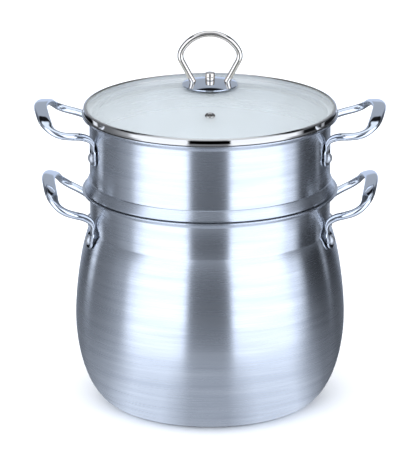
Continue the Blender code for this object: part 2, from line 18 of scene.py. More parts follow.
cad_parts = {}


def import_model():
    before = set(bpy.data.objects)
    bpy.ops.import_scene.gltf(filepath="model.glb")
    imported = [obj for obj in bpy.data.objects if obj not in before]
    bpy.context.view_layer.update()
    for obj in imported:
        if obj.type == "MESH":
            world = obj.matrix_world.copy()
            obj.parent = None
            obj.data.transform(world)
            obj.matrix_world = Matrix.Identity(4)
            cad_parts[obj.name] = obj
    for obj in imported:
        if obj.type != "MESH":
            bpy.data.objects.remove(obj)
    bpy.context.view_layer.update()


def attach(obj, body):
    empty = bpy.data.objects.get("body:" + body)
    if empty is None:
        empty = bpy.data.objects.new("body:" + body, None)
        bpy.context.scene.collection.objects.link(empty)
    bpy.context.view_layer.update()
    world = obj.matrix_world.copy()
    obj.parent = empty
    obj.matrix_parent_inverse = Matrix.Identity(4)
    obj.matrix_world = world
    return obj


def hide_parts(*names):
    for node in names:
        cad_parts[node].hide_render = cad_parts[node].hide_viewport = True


MM = 0.001
LOG = logging.getLogger("steamer_pot")

# Gaps between pieces that touch, as in the CAD model.
CONTACT_GAP = 0.3 * MM
PAD_GAP = 0.5 * MM

# Aluminium sheet, and the neck and flared rim that both tiers share.
WALL = 1.5 * MM
NECK_RADIUS = 120.0 * MM
RIM_RADIUS = NECK_RADIUS + 8.2 * MM

# Edge radii: a broken edge, a softened one and a rolled one.
BROKEN_EDGE = 0.2 * MM
SOFT_EDGE = 0.4 * MM
ROLLED_EDGE = 0.8 * MM

# Facets.
SHELL_SEGMENTS = 192
DISC_SEGMENTS = 128
SMALL_SEGMENTS = 64
RIVET_SEGMENTS = 40
HOLE_SIDES = 24
LIP_STEPS = 6
FILLET_STEPS = 5
CURVE_STEPS = 36
LOFT_STEPS = 6
SHARP_ANGLE = math.radians(32.0)
NEARLY_STRAIGHT = math.radians(89.5)
WELD = 0.002 * MM
PLATE_WELD = 0.01 * MM
MATH = "ShaderNodeMath"

Point = tuple[float, float]
Corner = tuple[float, float, float]
Colour = tuple[float, float, float, float]


class Tier(Enum):
    """A body of the frame, by the name the record gives it."""

    POT = "pot"
    STEAMER = "steamer"
    LID = "lid"


# ---------------------------------------------------------------- nodes and colours


def linear(colour: str) -> Colour:
    """Turn an sRGB hex colour to linear light.

    Args:
        colour: Six hex digits after a hash.

    Returns:
        Red, green, blue and an alpha of one.
    """
    parts = [int(colour[i:i + 2], 16) / 255.0 for i in (1, 3, 5)]
    red, green, blue = (
        part / 12.92 if part <= 0.04045 else ((part + 0.055) / 1.055) ** 2.4 for part in parts
    )
    return (red, green, blue, 1.0)


def add_node(
    tree: bpy.types.NodeTree,
    kind: str,
    inputs: dict[str | int, Any] | None = None,
    **settings: Any,
) -> bpy.types.Node:
    """Add a node with its settings and its links.

    Args:
        tree: The tree that takes the node.
        kind: The node's type name.
        inputs: What goes in each input, by name or place: a socket to link, or a value.
        settings: The node's own options.

    Returns:
        The new node.
    """
    node = tree.nodes.new(kind)
    for name, value in settings.items():
        setattr(node, name, value)
    for name, value in (inputs or {}).items():
        if isinstance(value, bpy.types.NodeSocket):
            tree.links.new(value, node.inputs[name])
        else:
            node.inputs[name].default_value = value
    return node


def result(
    tree: bpy.types.NodeTree, kind: str, *inputs: Any, **settings: Any
) -> bpy.types.NodeSocket:
    """Add a node with its inputs in order, and give its first output.

    Args:
        tree: The tree that takes the node.
        kind: The node's type name.
        inputs: A socket to link or a value for each input, from the first on.
        settings: The node's own options.

    Returns:
        The first output.
    """
    return add_node(tree, kind, dict(enumerate(inputs)), **settings).outputs[0]


# ---------------------------------------------------------------- finishes


@dataclass(frozen=True)
class Finish:
    """A material: its name, colour and the constants of its surface."""

    name: str
    colour: str
    metallic: float
    roughness: float

    def shader_inputs(self) -> dict[str | int, Any]:
        """Give the constants that are set on the shader itself."""
        return {
            "Base Color": linear(self.colour),
            "Metallic": self.metallic,
            "Roughness": self.roughness,
        }

    def pattern(self, tree: bpy.types.NodeTree, shader: bpy.types.Node) -> None:
        """Add what varies over the surface; a plain finish has nothing.

        Args:
            tree: The material's tree.
            shader: Its Principled shader.
        """

    def material(self) -> bpy.types.Material:
        """Give the scene's material of this name, made here if there is none yet."""
        found = bpy.data.materials.get(self.name)
        if found is not None:
            return found
        mat = bpy.data.materials.new(self.name)
        mat.use_nodes = True
        tree = mat.node_tree
        tree.nodes.clear()
        shader = add_node(tree, "ShaderNodeBsdfPrincipled", self.shader_inputs())
        add_node(tree, "ShaderNodeOutputMaterial", {"Surface": shader.outputs["BSDF"]})
        self.pattern(tree, shader)
        return mat


@dataclass(frozen=True)
class SpunAluminium(Finish):
    """Aluminium sheet brushed round its axis on a lathe.

    The brush lines run round the axis, so a highlight stays narrow across them and smears
    up and down. The fine lines are really about 0.1 mm apart, too close to show, so they
    are drawn at line_pitch.
    """

    shade: str = "#D3D6DB"
    anisotropic: float = 0.9
    line_pitch: float = 1.1 * MM
    band_pitch: float = 7.0 * MM
    line_depth: float = 0.002 * MM
    line_share: float = 0.75
    tone_range: tuple[float, float] = (0.6, 1.15)
    spread: float = 0.08

    def shader_inputs(self) -> dict[str | int, Any]:
        """Give the constants, with the lobe stretched across the brush lines."""
        return {
            **super().shader_inputs(),
            "Anisotropic": self.anisotropic,
            "Anisotropic Rotation": 0.25,
        }

    def streaks(
        self, tree: bpy.types.NodeTree, pitch: float, turns: float, detail: float
    ) -> bpy.types.NodeSocket:
        """Make noise that is drawn out round the axis.

        Args:
            tree: The material's tree.
            pitch: Spacing of the lines along the wall.
            turns: How often a line changes in one turn.
            detail: Octaves of noise.

        Returns:
            The noise's value.
        """
        place = add_node(tree, "ShaderNodeTexCoord").outputs["Object"]
        apart = add_node(tree, "ShaderNodeSeparateXYZ", {0: place})
        flat = result(tree, "ShaderNodeCombineXYZ", apart.outputs["X"], apart.outputs["Y"])
        radius = add_node(tree, "ShaderNodeVectorMath", {0: flat},
                          operation="LENGTH").outputs["Value"]
        heading = result(tree, "ShaderNodeVectorMath", flat, operation="NORMALIZE")
        round_axis = add_node(tree, "ShaderNodeVectorMath", {0: heading, "Scale": turns},
                              operation="SCALE").outputs[0]
        height = result(tree, MATH, apart.outputs["Z"], 1.0 / pitch, operation="MULTIPLY")
        lift = add_node(tree, "ShaderNodeCombineXYZ", {2: height}).outputs[0]
        vector = result(tree, "ShaderNodeVectorMath", round_axis, lift, operation="ADD")
        depth = result(tree, MATH, radius, 1.0 / pitch, operation="MULTIPLY")
        noise = add_node(tree, "ShaderNodeTexNoise",
                         {"Vector": vector, "W": depth, "Scale": 1.0, "Detail": detail,
                          "Roughness": 0.6}, noise_dimensions="4D")
        return noise.outputs["Fac"]

    def pattern(self, tree: bpy.types.NodeTree, shader: bpy.types.Node) -> None:
        """Add the brush lines to colour, roughness and bump."""
        lines = self.streaks(tree, self.line_pitch, 2.2, 3.0)
        bands = self.streaks(tree, self.band_pitch, 1.3, 1.0)
        both = result(tree, MATH, lines, self.line_share, bands, operation="MULTIPLY_ADD")
        darkest, brightest = self.tone_range
        tone = result(tree, "ShaderNodeMapRange", both, darkest, brightest, 0.0, 1.0)
        mix = add_node(tree, "ShaderNodeMix",
                       {0: tone, 6: linear(self.colour), 7: linear(self.shade)},
                       data_type="RGBA")
        rough = result(tree, "ShaderNodeMapRange", both, darkest, brightest,
                       self.roughness * (1.0 - self.spread),
                       self.roughness * (1.0 + self.spread))
        grain = add_node(tree, "ShaderNodeBump",
                         {"Height": lines, "Distance": self.line_depth, "Strength": 1.0})
        tangent = result(tree, "ShaderNodeTangent", direction_type="RADIAL", axis="Z")
        tree.links.new(mix.outputs[2], shader.inputs["Base Color"])
        tree.links.new(rough, shader.inputs["Roughness"])
        tree.links.new(grain.outputs[0], shader.inputs["Normal"])
        tree.links.new(tangent, shader.inputs["Tangent"])


@dataclass(frozen=True)
class PlatedWire(Finish):
    """Polished metal with faint handling marks and a little waviness in its reflections."""

    mark_pitch: float = 2.5 * MM
    wave_depth: float = 0.02 * MM
    spread: float = 0.35

    def pattern(self, tree: bpy.types.NodeTree, shader: bpy.types.Node) -> None:
        """Add faint marks to the roughness and a slow bump."""
        place = add_node(tree, "ShaderNodeTexCoord").outputs["Object"]
        marks = add_node(tree, "ShaderNodeTexNoise",
                         {"Vector": place, "Scale": 1.0 / self.mark_pitch, "Detail": 4.0})
        rough = result(tree, "ShaderNodeMapRange", marks.outputs["Fac"], 0.35, 0.7,
                       self.roughness * (1.0 - self.spread),
                       self.roughness * (1.0 + self.spread))
        slow = add_node(tree, "ShaderNodeTexNoise",
                        {"Vector": place, "Scale": 0.25 / self.mark_pitch, "Detail": 1.0})
        bump = add_node(tree, "ShaderNodeBump",
                        {"Height": slow.outputs["Fac"], "Distance": self.wave_depth,
                         "Strength": 1.0})
        tree.links.new(rough, shader.inputs["Roughness"])
        tree.links.new(bump.outputs[0], shader.inputs["Normal"])


@dataclass(frozen=True)
class TemperedGlass(Finish):
    """Clear soda-lime glass, heat-strengthened, with faint wipe marks."""

    ior: float = 1.5
    wipe_pitch: float = 14.0 * MM
    spread: float = 0.5

    def shader_inputs(self) -> dict[str | int, Any]:
        """Give the constants of clear glass."""
        return {**super().shader_inputs(), "IOR": self.ior, "Transmission Weight": 1.0}

    def pattern(self, tree: bpy.types.NodeTree, shader: bpy.types.Node) -> None:
        """Add faint wipe marks to the roughness."""
        place = add_node(tree, "ShaderNodeTexCoord").outputs["Object"]
        wipes = add_node(tree, "ShaderNodeTexNoise",
                         {"Vector": place, "Scale": 1.0 / self.wipe_pitch, "Detail": 3.0})
        rough = result(tree, "ShaderNodeMapRange", wipes.outputs["Fac"], 0.4, 0.75,
                       self.roughness * (1.0 - self.spread),
                       self.roughness * (1.0 + self.spread))
        tree.links.new(rough, shader.inputs["Roughness"])


@dataclass(frozen=True)
class MouldedRubber(Finish):
    """Moulded silicone rubber: matt, with a fine sparked texture."""

    grain_pitch: float = 0.8 * MM
    grain_depth: float = 0.05 * MM

    def pattern(self, tree: bpy.types.NodeTree, shader: bpy.types.Node) -> None:
        """Add the mould's grain to the bump."""
        place = add_node(tree, "ShaderNodeTexCoord").outputs["Object"]
        grain = add_node(tree, "ShaderNodeTexNoise",
                         {"Vector": place, "Scale": 1.0 / self.grain_pitch, "Detail": 3.0})
        bump = add_node(tree, "ShaderNodeBump",
                        {"Height": grain.outputs["Fac"], "Distance": self.grain_depth})
        tree.links.new(bump.outputs[0], shader.inputs["Normal"])


# Spun and brushed aluminium: bright, cool, satin across the lines.
ALUMINIUM = SpunAluminium("brushed_aluminium", "#E6E8EB", 1.0, 0.27)
# Rivet aluminium: plain as headed, duller than the brushed sheet. The frame brings a plain
# material of this name, and material() keeps that one.
RIVET_ALUMINIUM = PlatedWire("rivet_aluminium", "#C9CBD0", 1.0, 0.3)
# Chrome plate on the handles and the saucer: mirror-bright and slightly blue.
CHROME = PlatedWire("chrome_plate", "#E6E9EE", 1.0, 0.05)
# Polished stainless sheet: a little warmer and darker than chrome.
STAINLESS = PlatedWire("polished_stainless", "#D2CCC4", 1.0, 0.05)
# Nickel plate on the loop and the nut: as bright as chrome, but warmer.
NICKEL = PlatedWire("nickel_plate", "#F0E6DA", 1.0, 0.04)
# Tempered soda-lime glass: clear with a blue body. The frame brings a plain material of this
# name, and material() keeps that one.
GLASS = TemperedGlass("tempered_glass", "#A8B8CE", 0.0, 0.015)
# Silicone rubber: matt mid grey.
SILICONE = MouldedRubber("silicone_rubber", "#6E7073", 0.0, 0.65)


# ---------------------------------------------------------------- outlines


def filleted(corners: Sequence[Corner]) -> list[Point]:
    """Round the inner corners of a line.

    Args:
        corners: Radius, height and fillet of each corner.

    Returns:
        The rounded line.
    """
    points = [corners[0][:2]]
    for before, corner, after in zip(corners, corners[1:], corners[2:]):
        here = Vector(corner[:2])
        back = (Vector(before[:2]) - here).normalized()
        ahead = (Vector(after[:2]) - here).normalized()
        half = 0.5 * back.angle(ahead)
        if corner[2] <= 0.0 or half > NEARLY_STRAIGHT:
            points.append(tuple(here))
            continue
        centre = here + (back + ahead).normalized() * (corner[2] / math.sin(half))
        reach = corner[2] / math.tan(half)
        start = here + back * reach - centre
        finish = here + ahead * reach - centre
        sweep = finish.angle_signed(start)
        for step in range(FILLET_STEPS + 1):
            spoke = Matrix.Rotation(sweep * step / FILLET_STEPS, 2) @ start
            points.append(tuple(centre + spoke))
    points.append(corners[-1][:2])
    return points


def bezier(start: Point, pull_out: Point, pull_in: Point, finish: Point) -> list[Point]:
    """Give the points of a cubic curve after its start.

    Args:
        start: First knot.
        pull_out: Handle that the curve leaves towards.
        pull_in: Handle that it arrives from.
        finish: Last knot.

    Returns:
        Evenly stepped points, the finish included.
    """
    knots = (start, pull_out, pull_in, finish)
    points = []
    for step in range(1, CURVE_STEPS + 1):
        t = step / CURVE_STEPS
        s = 1.0 - t
        weights = (s ** 3, 3 * s * s * t, 3 * s * t * t, t ** 3)
        points.append(tuple(sum(w * k[i] for w, k in zip(weights, knots)) for i in (0, 1)))
    return points


def inset(line: Sequence[Point], thickness: float) -> list[Point]:
    """Move a line inwards by a sheet's thickness, with mitred corners.

    Args:
        line: The outside, drawn from the rim down and in.
        thickness: The sheet's thickness.

    Returns:
        The inside, in the same order. An end on the axis stays on it.
    """
    normals = []
    for (r0, z0), (r1, z1) in zip(line, line[1:]):
        along = Vector((r1 - r0, z1 - z0)).normalized()
        normals.append(Vector((along.y, -along.x)))
    moved = []
    for index, point in enumerate(line):
        before = normals[max(index - 1, 0)]
        after = normals[min(index, len(normals) - 1)]
        step = (before + after) * (thickness / (1.0 + before.dot(after)))
        moved.append((point[0] + step.x, point[1] + step.y))
    if line[-1][0] <= 0.0:
        moved[-1] = (0.0, moved[-1][1])
    return moved


def lip(outside: Point, inside: Point) -> list[Point]:
    """Round the free edge of a sheet.

    Args:
        outside: Where the sheet's outside ends.
        inside: Where its inside ends.

    Returns:
        The points between the two ends, from the inside to the outside.
    """
    first, last = Vector(inside), Vector(outside)
    middle = (first + last) / 2.0
    spoke = first - middle
    return [
        tuple(middle + Matrix.Rotation(math.pi * step / LIP_STEPS, 2) @ spoke)
        for step in range(1, LIP_STEPS)
    ]


def line_mesh(line: Sequence[Point]) -> bpy.types.Mesh:
    """Make a mesh of the points of a (radius, height) line."""
    source = bpy.data.meshes.new("line")
    source.from_pydata([(radius, 0.0, height) for radius, height in line], [], [])
    return source


def wall_radius(line: Sequence[Point], height: float) -> float:
    """Find the largest radius of a line at a height."""
    found = 0.0
    for (r0, z0), (r1, z1) in zip(line, line[1:]):
        if z0 != z1 and min(z0, z1) <= height <= max(z0, z1):
            found = max(found, r0 + (r1 - r0) * (height - z0) / (z1 - z0))
    return found


# ---------------------------------------------------------------- meshes and node trees


def finished(
    name: str, mesh: bpy.types.Mesh, finish: Finish, body: Tier,
    stands_for: Sequence[str] = (),
) -> bpy.types.Object:
    """Put a finished mesh in the scene as a piece of the object.

    Args:
        name: The piece's name.
        mesh: Its mesh, in its final place.
        finish: Its finish.
        body: The body that it rides on.
        stands_for: CAD nodes that it replaces.

    Returns:
        The piece.
    """
    shape = bmesh.new()
    shape.from_mesh(mesh)
    bmesh.ops.remove_doubles(shape, verts=shape.verts, dist=WELD)
    if shape.calc_volume(signed=True) < 0.0:
        bmesh.ops.reverse_faces(shape, faces=shape.faces)
    shape.to_mesh(mesh)
    shape.free()
    mesh.name = name
    mesh.materials.clear()
    mesh.materials.append(finish.material())
    mesh.shade_smooth()
    mesh.set_sharp_from_angle(angle=SHARP_ANGLE)
    piece = bpy.data.objects.new(name, mesh)
    bpy.context.scene.collection.objects.link(piece)
    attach(piece, body.value)
    if stands_for:
        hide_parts(*stands_for)
    LOG.info("%s on %s: %d faces", name, body.value, len(mesh.polygons))
    return piece


@dataclass
class NodeRecipe:
    """A Geometry Nodes tree with named inputs, and how it is run on a mesh."""

    name: str
    sizes: dict[str, str]
    tree: bpy.types.NodeTree = field(init=False)
    entry: bpy.types.Node = field(init=False)
    identifiers: dict[str, str] = field(init=False)

    def __post_init__(self) -> None:
        """Make the empty tree with its inputs and its output."""
        self.tree = bpy.data.node_groups.new(self.name, "GeometryNodeTree")
        face = self.tree.interface
        face.new_socket("Geometry", in_out="INPUT", socket_type="NodeSocketGeometry")
        self.identifiers = {
            label: face.new_socket(label, in_out="INPUT", socket_type=kind).identifier
            for label, kind in self.sizes.items()
        }
        face.new_socket("Geometry", in_out="OUTPUT", socket_type="NodeSocketGeometry")
        self.entry = self.tree.nodes.new("NodeGroupInput")

    def node(
        self, kind: str, inputs: dict[str | int, Any] | None = None, **settings: Any
    ) -> bpy.types.Node:
        """Add a node to this tree."""
        return add_node(self.tree, kind, inputs, **settings)

    def value(self, kind: str, *inputs: Any, **settings: Any) -> bpy.types.NodeSocket:
        """Add a node with its inputs in order, and give its first output."""
        return result(self.tree, kind, *inputs, **settings)

    def size(self, label: str) -> bpy.types.NodeSocket:
        """Give the socket of a named input."""
        return self.entry.outputs[label]

    def close(self, geometry: bpy.types.NodeSocket) -> None:
        """End the tree in real geometry with its material set.

        Args:
            geometry: What the tree has made.
        """
        real = self.node("GeometryNodeRealizeInstances", {0: geometry})
        coat = self.node("GeometryNodeSetMaterial",
                         {0: real.outputs[0], "Material": self.size("Finish")})
        self.node("NodeGroupOutput", {0: coat.outputs[0]})

    def run(self, source: bpy.types.Mesh, values: dict[str, Any]) -> bpy.types.Mesh:
        """Run the tree on a mesh and keep the result as a plain mesh.

        Args:
            source: The mesh that the tree starts from.
            values: A value for each named input.

        Returns:
            The result.
        """
        holder = bpy.data.objects.new(self.name, source)
        bpy.context.scene.collection.objects.link(holder)
        modifier = holder.modifiers.new(self.name, "NODES")
        modifier.node_group = self.tree
        for label, value in values.items():
            modifier[self.identifiers[label]] = value
        graph = bpy.context.evaluated_depsgraph_get()
        made = bpy.data.meshes.new_from_object(
            holder.evaluated_get(graph), preserve_all_data_layers=True, depsgraph=graph)
        holder.modifiers.remove(modifier)
        bpy.data.objects.remove(holder, do_unlink=True)
        return made


def turning_recipe() -> NodeRecipe:
    """Make the tree that turns a line of points about Z, as a lathe or spinning chuck does."""
    made = NodeRecipe("turned_about_axis", {
        "Segments": "NodeSocketInt", "Weld": "NodeSocketFloat", "Finish": "NodeSocketMaterial"})
    line = made.entry.outputs["Geometry"]
    count = made.node("GeometryNodeAttributeDomainSize", {0: line}).outputs["Point Count"]
    segments = made.size("Segments")
    columns = made.value(MATH, segments, 1.0, operation="ADD")
    grid = made.node("GeometryNodeMeshGrid", {"Vertices X": columns, "Vertices Y": count})
    index = made.value("GeometryNodeInputIndex")
    row = made.value("FunctionNodeIntegerMath", index, count, operation="MODULO")
    column = made.value("FunctionNodeIntegerMath", index, count, operation="DIVIDE_FLOOR")
    place = made.value("GeometryNodeInputPosition")
    point = made.node("GeometryNodeSampleIndex",
                      {"Geometry": line, "Value": place, "Index": row},
                      data_type="FLOAT_VECTOR", domain="POINT")
    share = made.value(MATH, column, segments, operation="DIVIDE")
    angle = made.value(MATH, share, math.tau, operation="MULTIPLY")
    turned = made.node("ShaderNodeVectorRotate",
                       {"Vector": point.outputs[0], "Angle": angle},
                       rotation_type="Z_AXIS")
    moved = made.node("GeometryNodeSetPosition",
                      {"Geometry": grid.outputs["Mesh"], "Position": turned.outputs[0]})
    welded = made.node("GeometryNodeMergeByDistance",
                       {"Geometry": moved.outputs[0], "Distance": made.size("Weld")})
    made.close(welded.outputs[0])
    return made


def perforation_recipe() -> NodeRecipe:
    """Make the tree that pierces a round floor with rings of holes, six more in each ring."""
    made = NodeRecipe("pierced_floor", {
        "Floor Radius": "NodeSocketFloat", "Floor Height": "NodeSocketFloat",
        "Sheet": "NodeSocketFloat", "Segments": "NodeSocketInt",
        "Hole Radius": "NodeSocketFloat", "Hole Sides": "NodeSocketInt",
        "Pitch": "NodeSocketFloat", "Rings": "NodeSocketInt", "Turn": "NodeSocketFloat",
        "Finish": "NodeSocketMaterial"})

    # Hole number n stands in the ring that the floor of (3 + sqrt(12 n - 3)) / 6 gives.
    rings = made.size("Rings")
    more = made.value(MATH, rings, 1.0, operation="ADD")
    pairs = made.value(MATH, rings, more, operation="MULTIPLY")
    around = made.value(MATH, pairs, 3.0, operation="MULTIPLY")
    index = made.value("GeometryNodeInputIndex")
    dozens = made.value(MATH, index, 12.0, operation="MULTIPLY")
    square = made.value(MATH, dozens, 3.0, operation="SUBTRACT")
    root = made.value(MATH, made.value(MATH, square, 0.0, operation="MAXIMUM"),
                      operation="SQRT")
    sixfold = made.value(MATH, root, 3.001, operation="ADD")
    ring = made.value(MATH, made.value(MATH, sixfold, 6.0, operation="DIVIDE"),
                      operation="FLOOR")
    fewer = made.value(MATH, ring, 1.0, operation="SUBTRACT")
    inner = made.value(MATH, ring, fewer, operation="MULTIPLY")
    before = made.value(MATH, inner, 3.0, operation="MULTIPLY")
    passed = made.value(MATH, index, before, operation="SUBTRACT")
    step = made.value(MATH, passed, 1.0, operation="SUBTRACT")
    in_ring = made.value(MATH, ring, 6.0, operation="MULTIPLY")
    share = made.value(MATH, step, in_ring, operation="DIVIDE")
    swing = made.value(MATH, share, math.tau, operation="MULTIPLY")
    angle = made.value(MATH, swing, made.size("Turn"), operation="ADD")
    radius = made.value(MATH, ring, made.size("Pitch"), operation="MULTIPLY")
    sides = [
        made.value(MATH, radius, made.value(MATH, angle, operation=wave), operation="MULTIPLY")
        for wave in ("COSINE", "SINE")
    ]
    spot = made.value("ShaderNodeCombineXYZ", *sides)
    count = made.value(MATH, around, 1.0, operation="ADD")
    points = made.node("GeometryNodePoints",
                       {"Count": count, "Position": spot})
    hole = made.node("GeometryNodeCurvePrimitiveCircle",
                     {"Resolution": made.size("Hole Sides"), "Radius": made.size("Hole Radius")},
                     mode="RADIUS")
    holes = made.node("GeometryNodeInstanceOnPoints",
                      {"Points": points.outputs[0], "Instance": hole.outputs[0]})
    cut = made.node("GeometryNodeRealizeInstances", {0: holes.outputs[0]})
    edge = made.node("GeometryNodeCurvePrimitiveCircle",
                     {"Resolution": made.size("Segments"), "Radius": made.size("Floor Radius")},
                     mode="RADIUS")
    lines = made.node("GeometryNodeJoinGeometry", {0: cut.outputs[0]})
    made.tree.links.new(edge.outputs[0], lines.inputs[0])
    plate = made.value("GeometryNodeFillCurve", lines.outputs[0])
    up = made.node("ShaderNodeCombineXYZ", {2: made.size("Sheet")})
    raised = made.node("GeometryNodeExtrudeMesh",
                       {"Mesh": plate, "Offset": up.outputs[0],
                        "Offset Scale": 1.0, "Individual": False}, mode="FACES")
    apart = made.node("ShaderNodeSeparateXYZ", {0: made.value("GeometryNodeInputPosition")})
    flat = made.value("ShaderNodeCombineXYZ", apart.outputs[0], apart.outputs[1])
    far = made.node("ShaderNodeVectorMath", {0: flat}, operation="LENGTH")
    limit = made.value(MATH, made.size("Floor Radius"), 0.99, operation="MULTIPLY")
    outer = made.node("FunctionNodeCompare", {0: far.outputs["Value"], 1: limit},
                      data_type="FLOAT", operation="GREATER_THAN")
    rim = made.node("FunctionNodeBooleanMath",
                    {0: outer.outputs[0], 1: raised.outputs["Side"]}, operation="AND")
    opened = made.node("GeometryNodeDeleteGeometry",
                       {"Geometry": raised.outputs["Mesh"], "Selection": rim.outputs[0]},
                       domain="FACE", mode="ALL")
    under = made.node("GeometryNodeFlipFaces", {0: plate})
    both = made.node("GeometryNodeJoinGeometry", {0: opened.outputs[0]})
    made.tree.links.new(under.outputs[0], both.inputs[0])
    drop = made.node("ShaderNodeCombineXYZ", {2: made.size("Floor Height")})
    placed = made.node("GeometryNodeTransform",
                       {"Geometry": both.outputs[0], "Translation": drop.outputs[0]})
    whole = made.node("GeometryNodeJoinGeometry", {0: placed.outputs[0]})
    made.tree.links.new(made.entry.outputs["Geometry"], whole.inputs[0])
    welded = made.node("GeometryNodeMergeByDistance",
                       {"Geometry": whole.outputs[0], "Distance": PLATE_WELD})
    made.close(welded.outputs[0])
    return made


def riveting_recipe() -> NodeRecipe:
    """Make the tree that sets a rivet on each point, along that point's outward vector."""
    made = NodeRecipe("set_rivets", {
        "Rivet": "NodeSocketObject", "Finish": "NodeSocketMaterial"})
    rivet = made.node("GeometryNodeObjectInfo", {"Object": made.size("Rivet")})
    outward = made.node("GeometryNodeInputNamedAttribute", {"Name": "outward"},
                        data_type="FLOAT_VECTOR")
    aim = made.node("FunctionNodeAlignRotationToVector", {"Vector": outward.outputs[0]},
                    axis="Z")
    rivets = made.node("GeometryNodeInstanceOnPoints",
                       {"Points": made.entry.outputs["Geometry"],
                        "Instance": rivet.outputs["Geometry"], "Rotation": aim.outputs[0]})
    made.close(rivets.outputs[0])
    return made


@dataclass
class Workshop:
    """The three node recipes, made once and used for every piece."""

    turning: NodeRecipe = field(default_factory=turning_recipe)
    piercing: NodeRecipe = field(default_factory=perforation_recipe)
    riveting: NodeRecipe = field(default_factory=riveting_recipe)

    def turn(
        self, line: Sequence[Point], finish: Finish, segments: int = SHELL_SEGMENTS
    ) -> bpy.types.Mesh:
        """Turn a line of (radius, height) points about Z."""
        return self.turning.run(line_mesh(line), {
            "Segments": segments, "Weld": WELD, "Finish": finish.material()})


def loft(rings: Sequence[Sequence[Vector]]) -> bpy.types.Mesh:
    """Skin a row of closed sections, with its ends capped.

    Args:
        rings: Sections with the same number of points each.

    Returns:
        The closed skin.
    """
    skin = bmesh.new()
    rows = [[skin.verts.new(point) for point in ring] for ring in rings]
    for row, following in zip(rows, rows[1:]):
        for index, vert in enumerate(row):
            after = (index + 1) % len(row)
            skin.faces.new((vert, row[after], following[after], following[index]))
    skin.faces.new(list(reversed(rows[0])))
    skin.faces.new(rows[-1])
    bmesh.ops.recalc_face_normals(skin, faces=skin.faces)
    mesh = bpy.data.meshes.new("loft")
    skin.to_mesh(mesh)
    skin.free()
    return mesh


def smoothed(stations: Sequence[Sequence[float]], steps: int) -> list[list[float]]:
    """Run a smooth curve through rows of numbers.

    Args:
        stations: The rows that the curve passes through.
        steps: Rows made for each gap between two stations.

    Returns:
        The denser rows.
    """
    rows = []
    last = len(stations) - 1
    for index in range(last):
        p0 = stations[max(index - 1, 0)]
        p1, p2 = stations[index], stations[index + 1]
        p3 = stations[min(index + 2, last)]
        for step in range(steps):
            t = step / steps
            rows.append([
                0.5 * (2 * b + (c - a) * t + (2 * a - 5 * b + 4 * c - d) * t * t
                       + (3 * b - a - 3 * c + d) * t ** 3)
                for a, b, c, d in zip(p0, p1, p2, p3)
            ])
    rows.append(list(stations[last]))
    return rows


# ---------------------------------------------------------------- handles


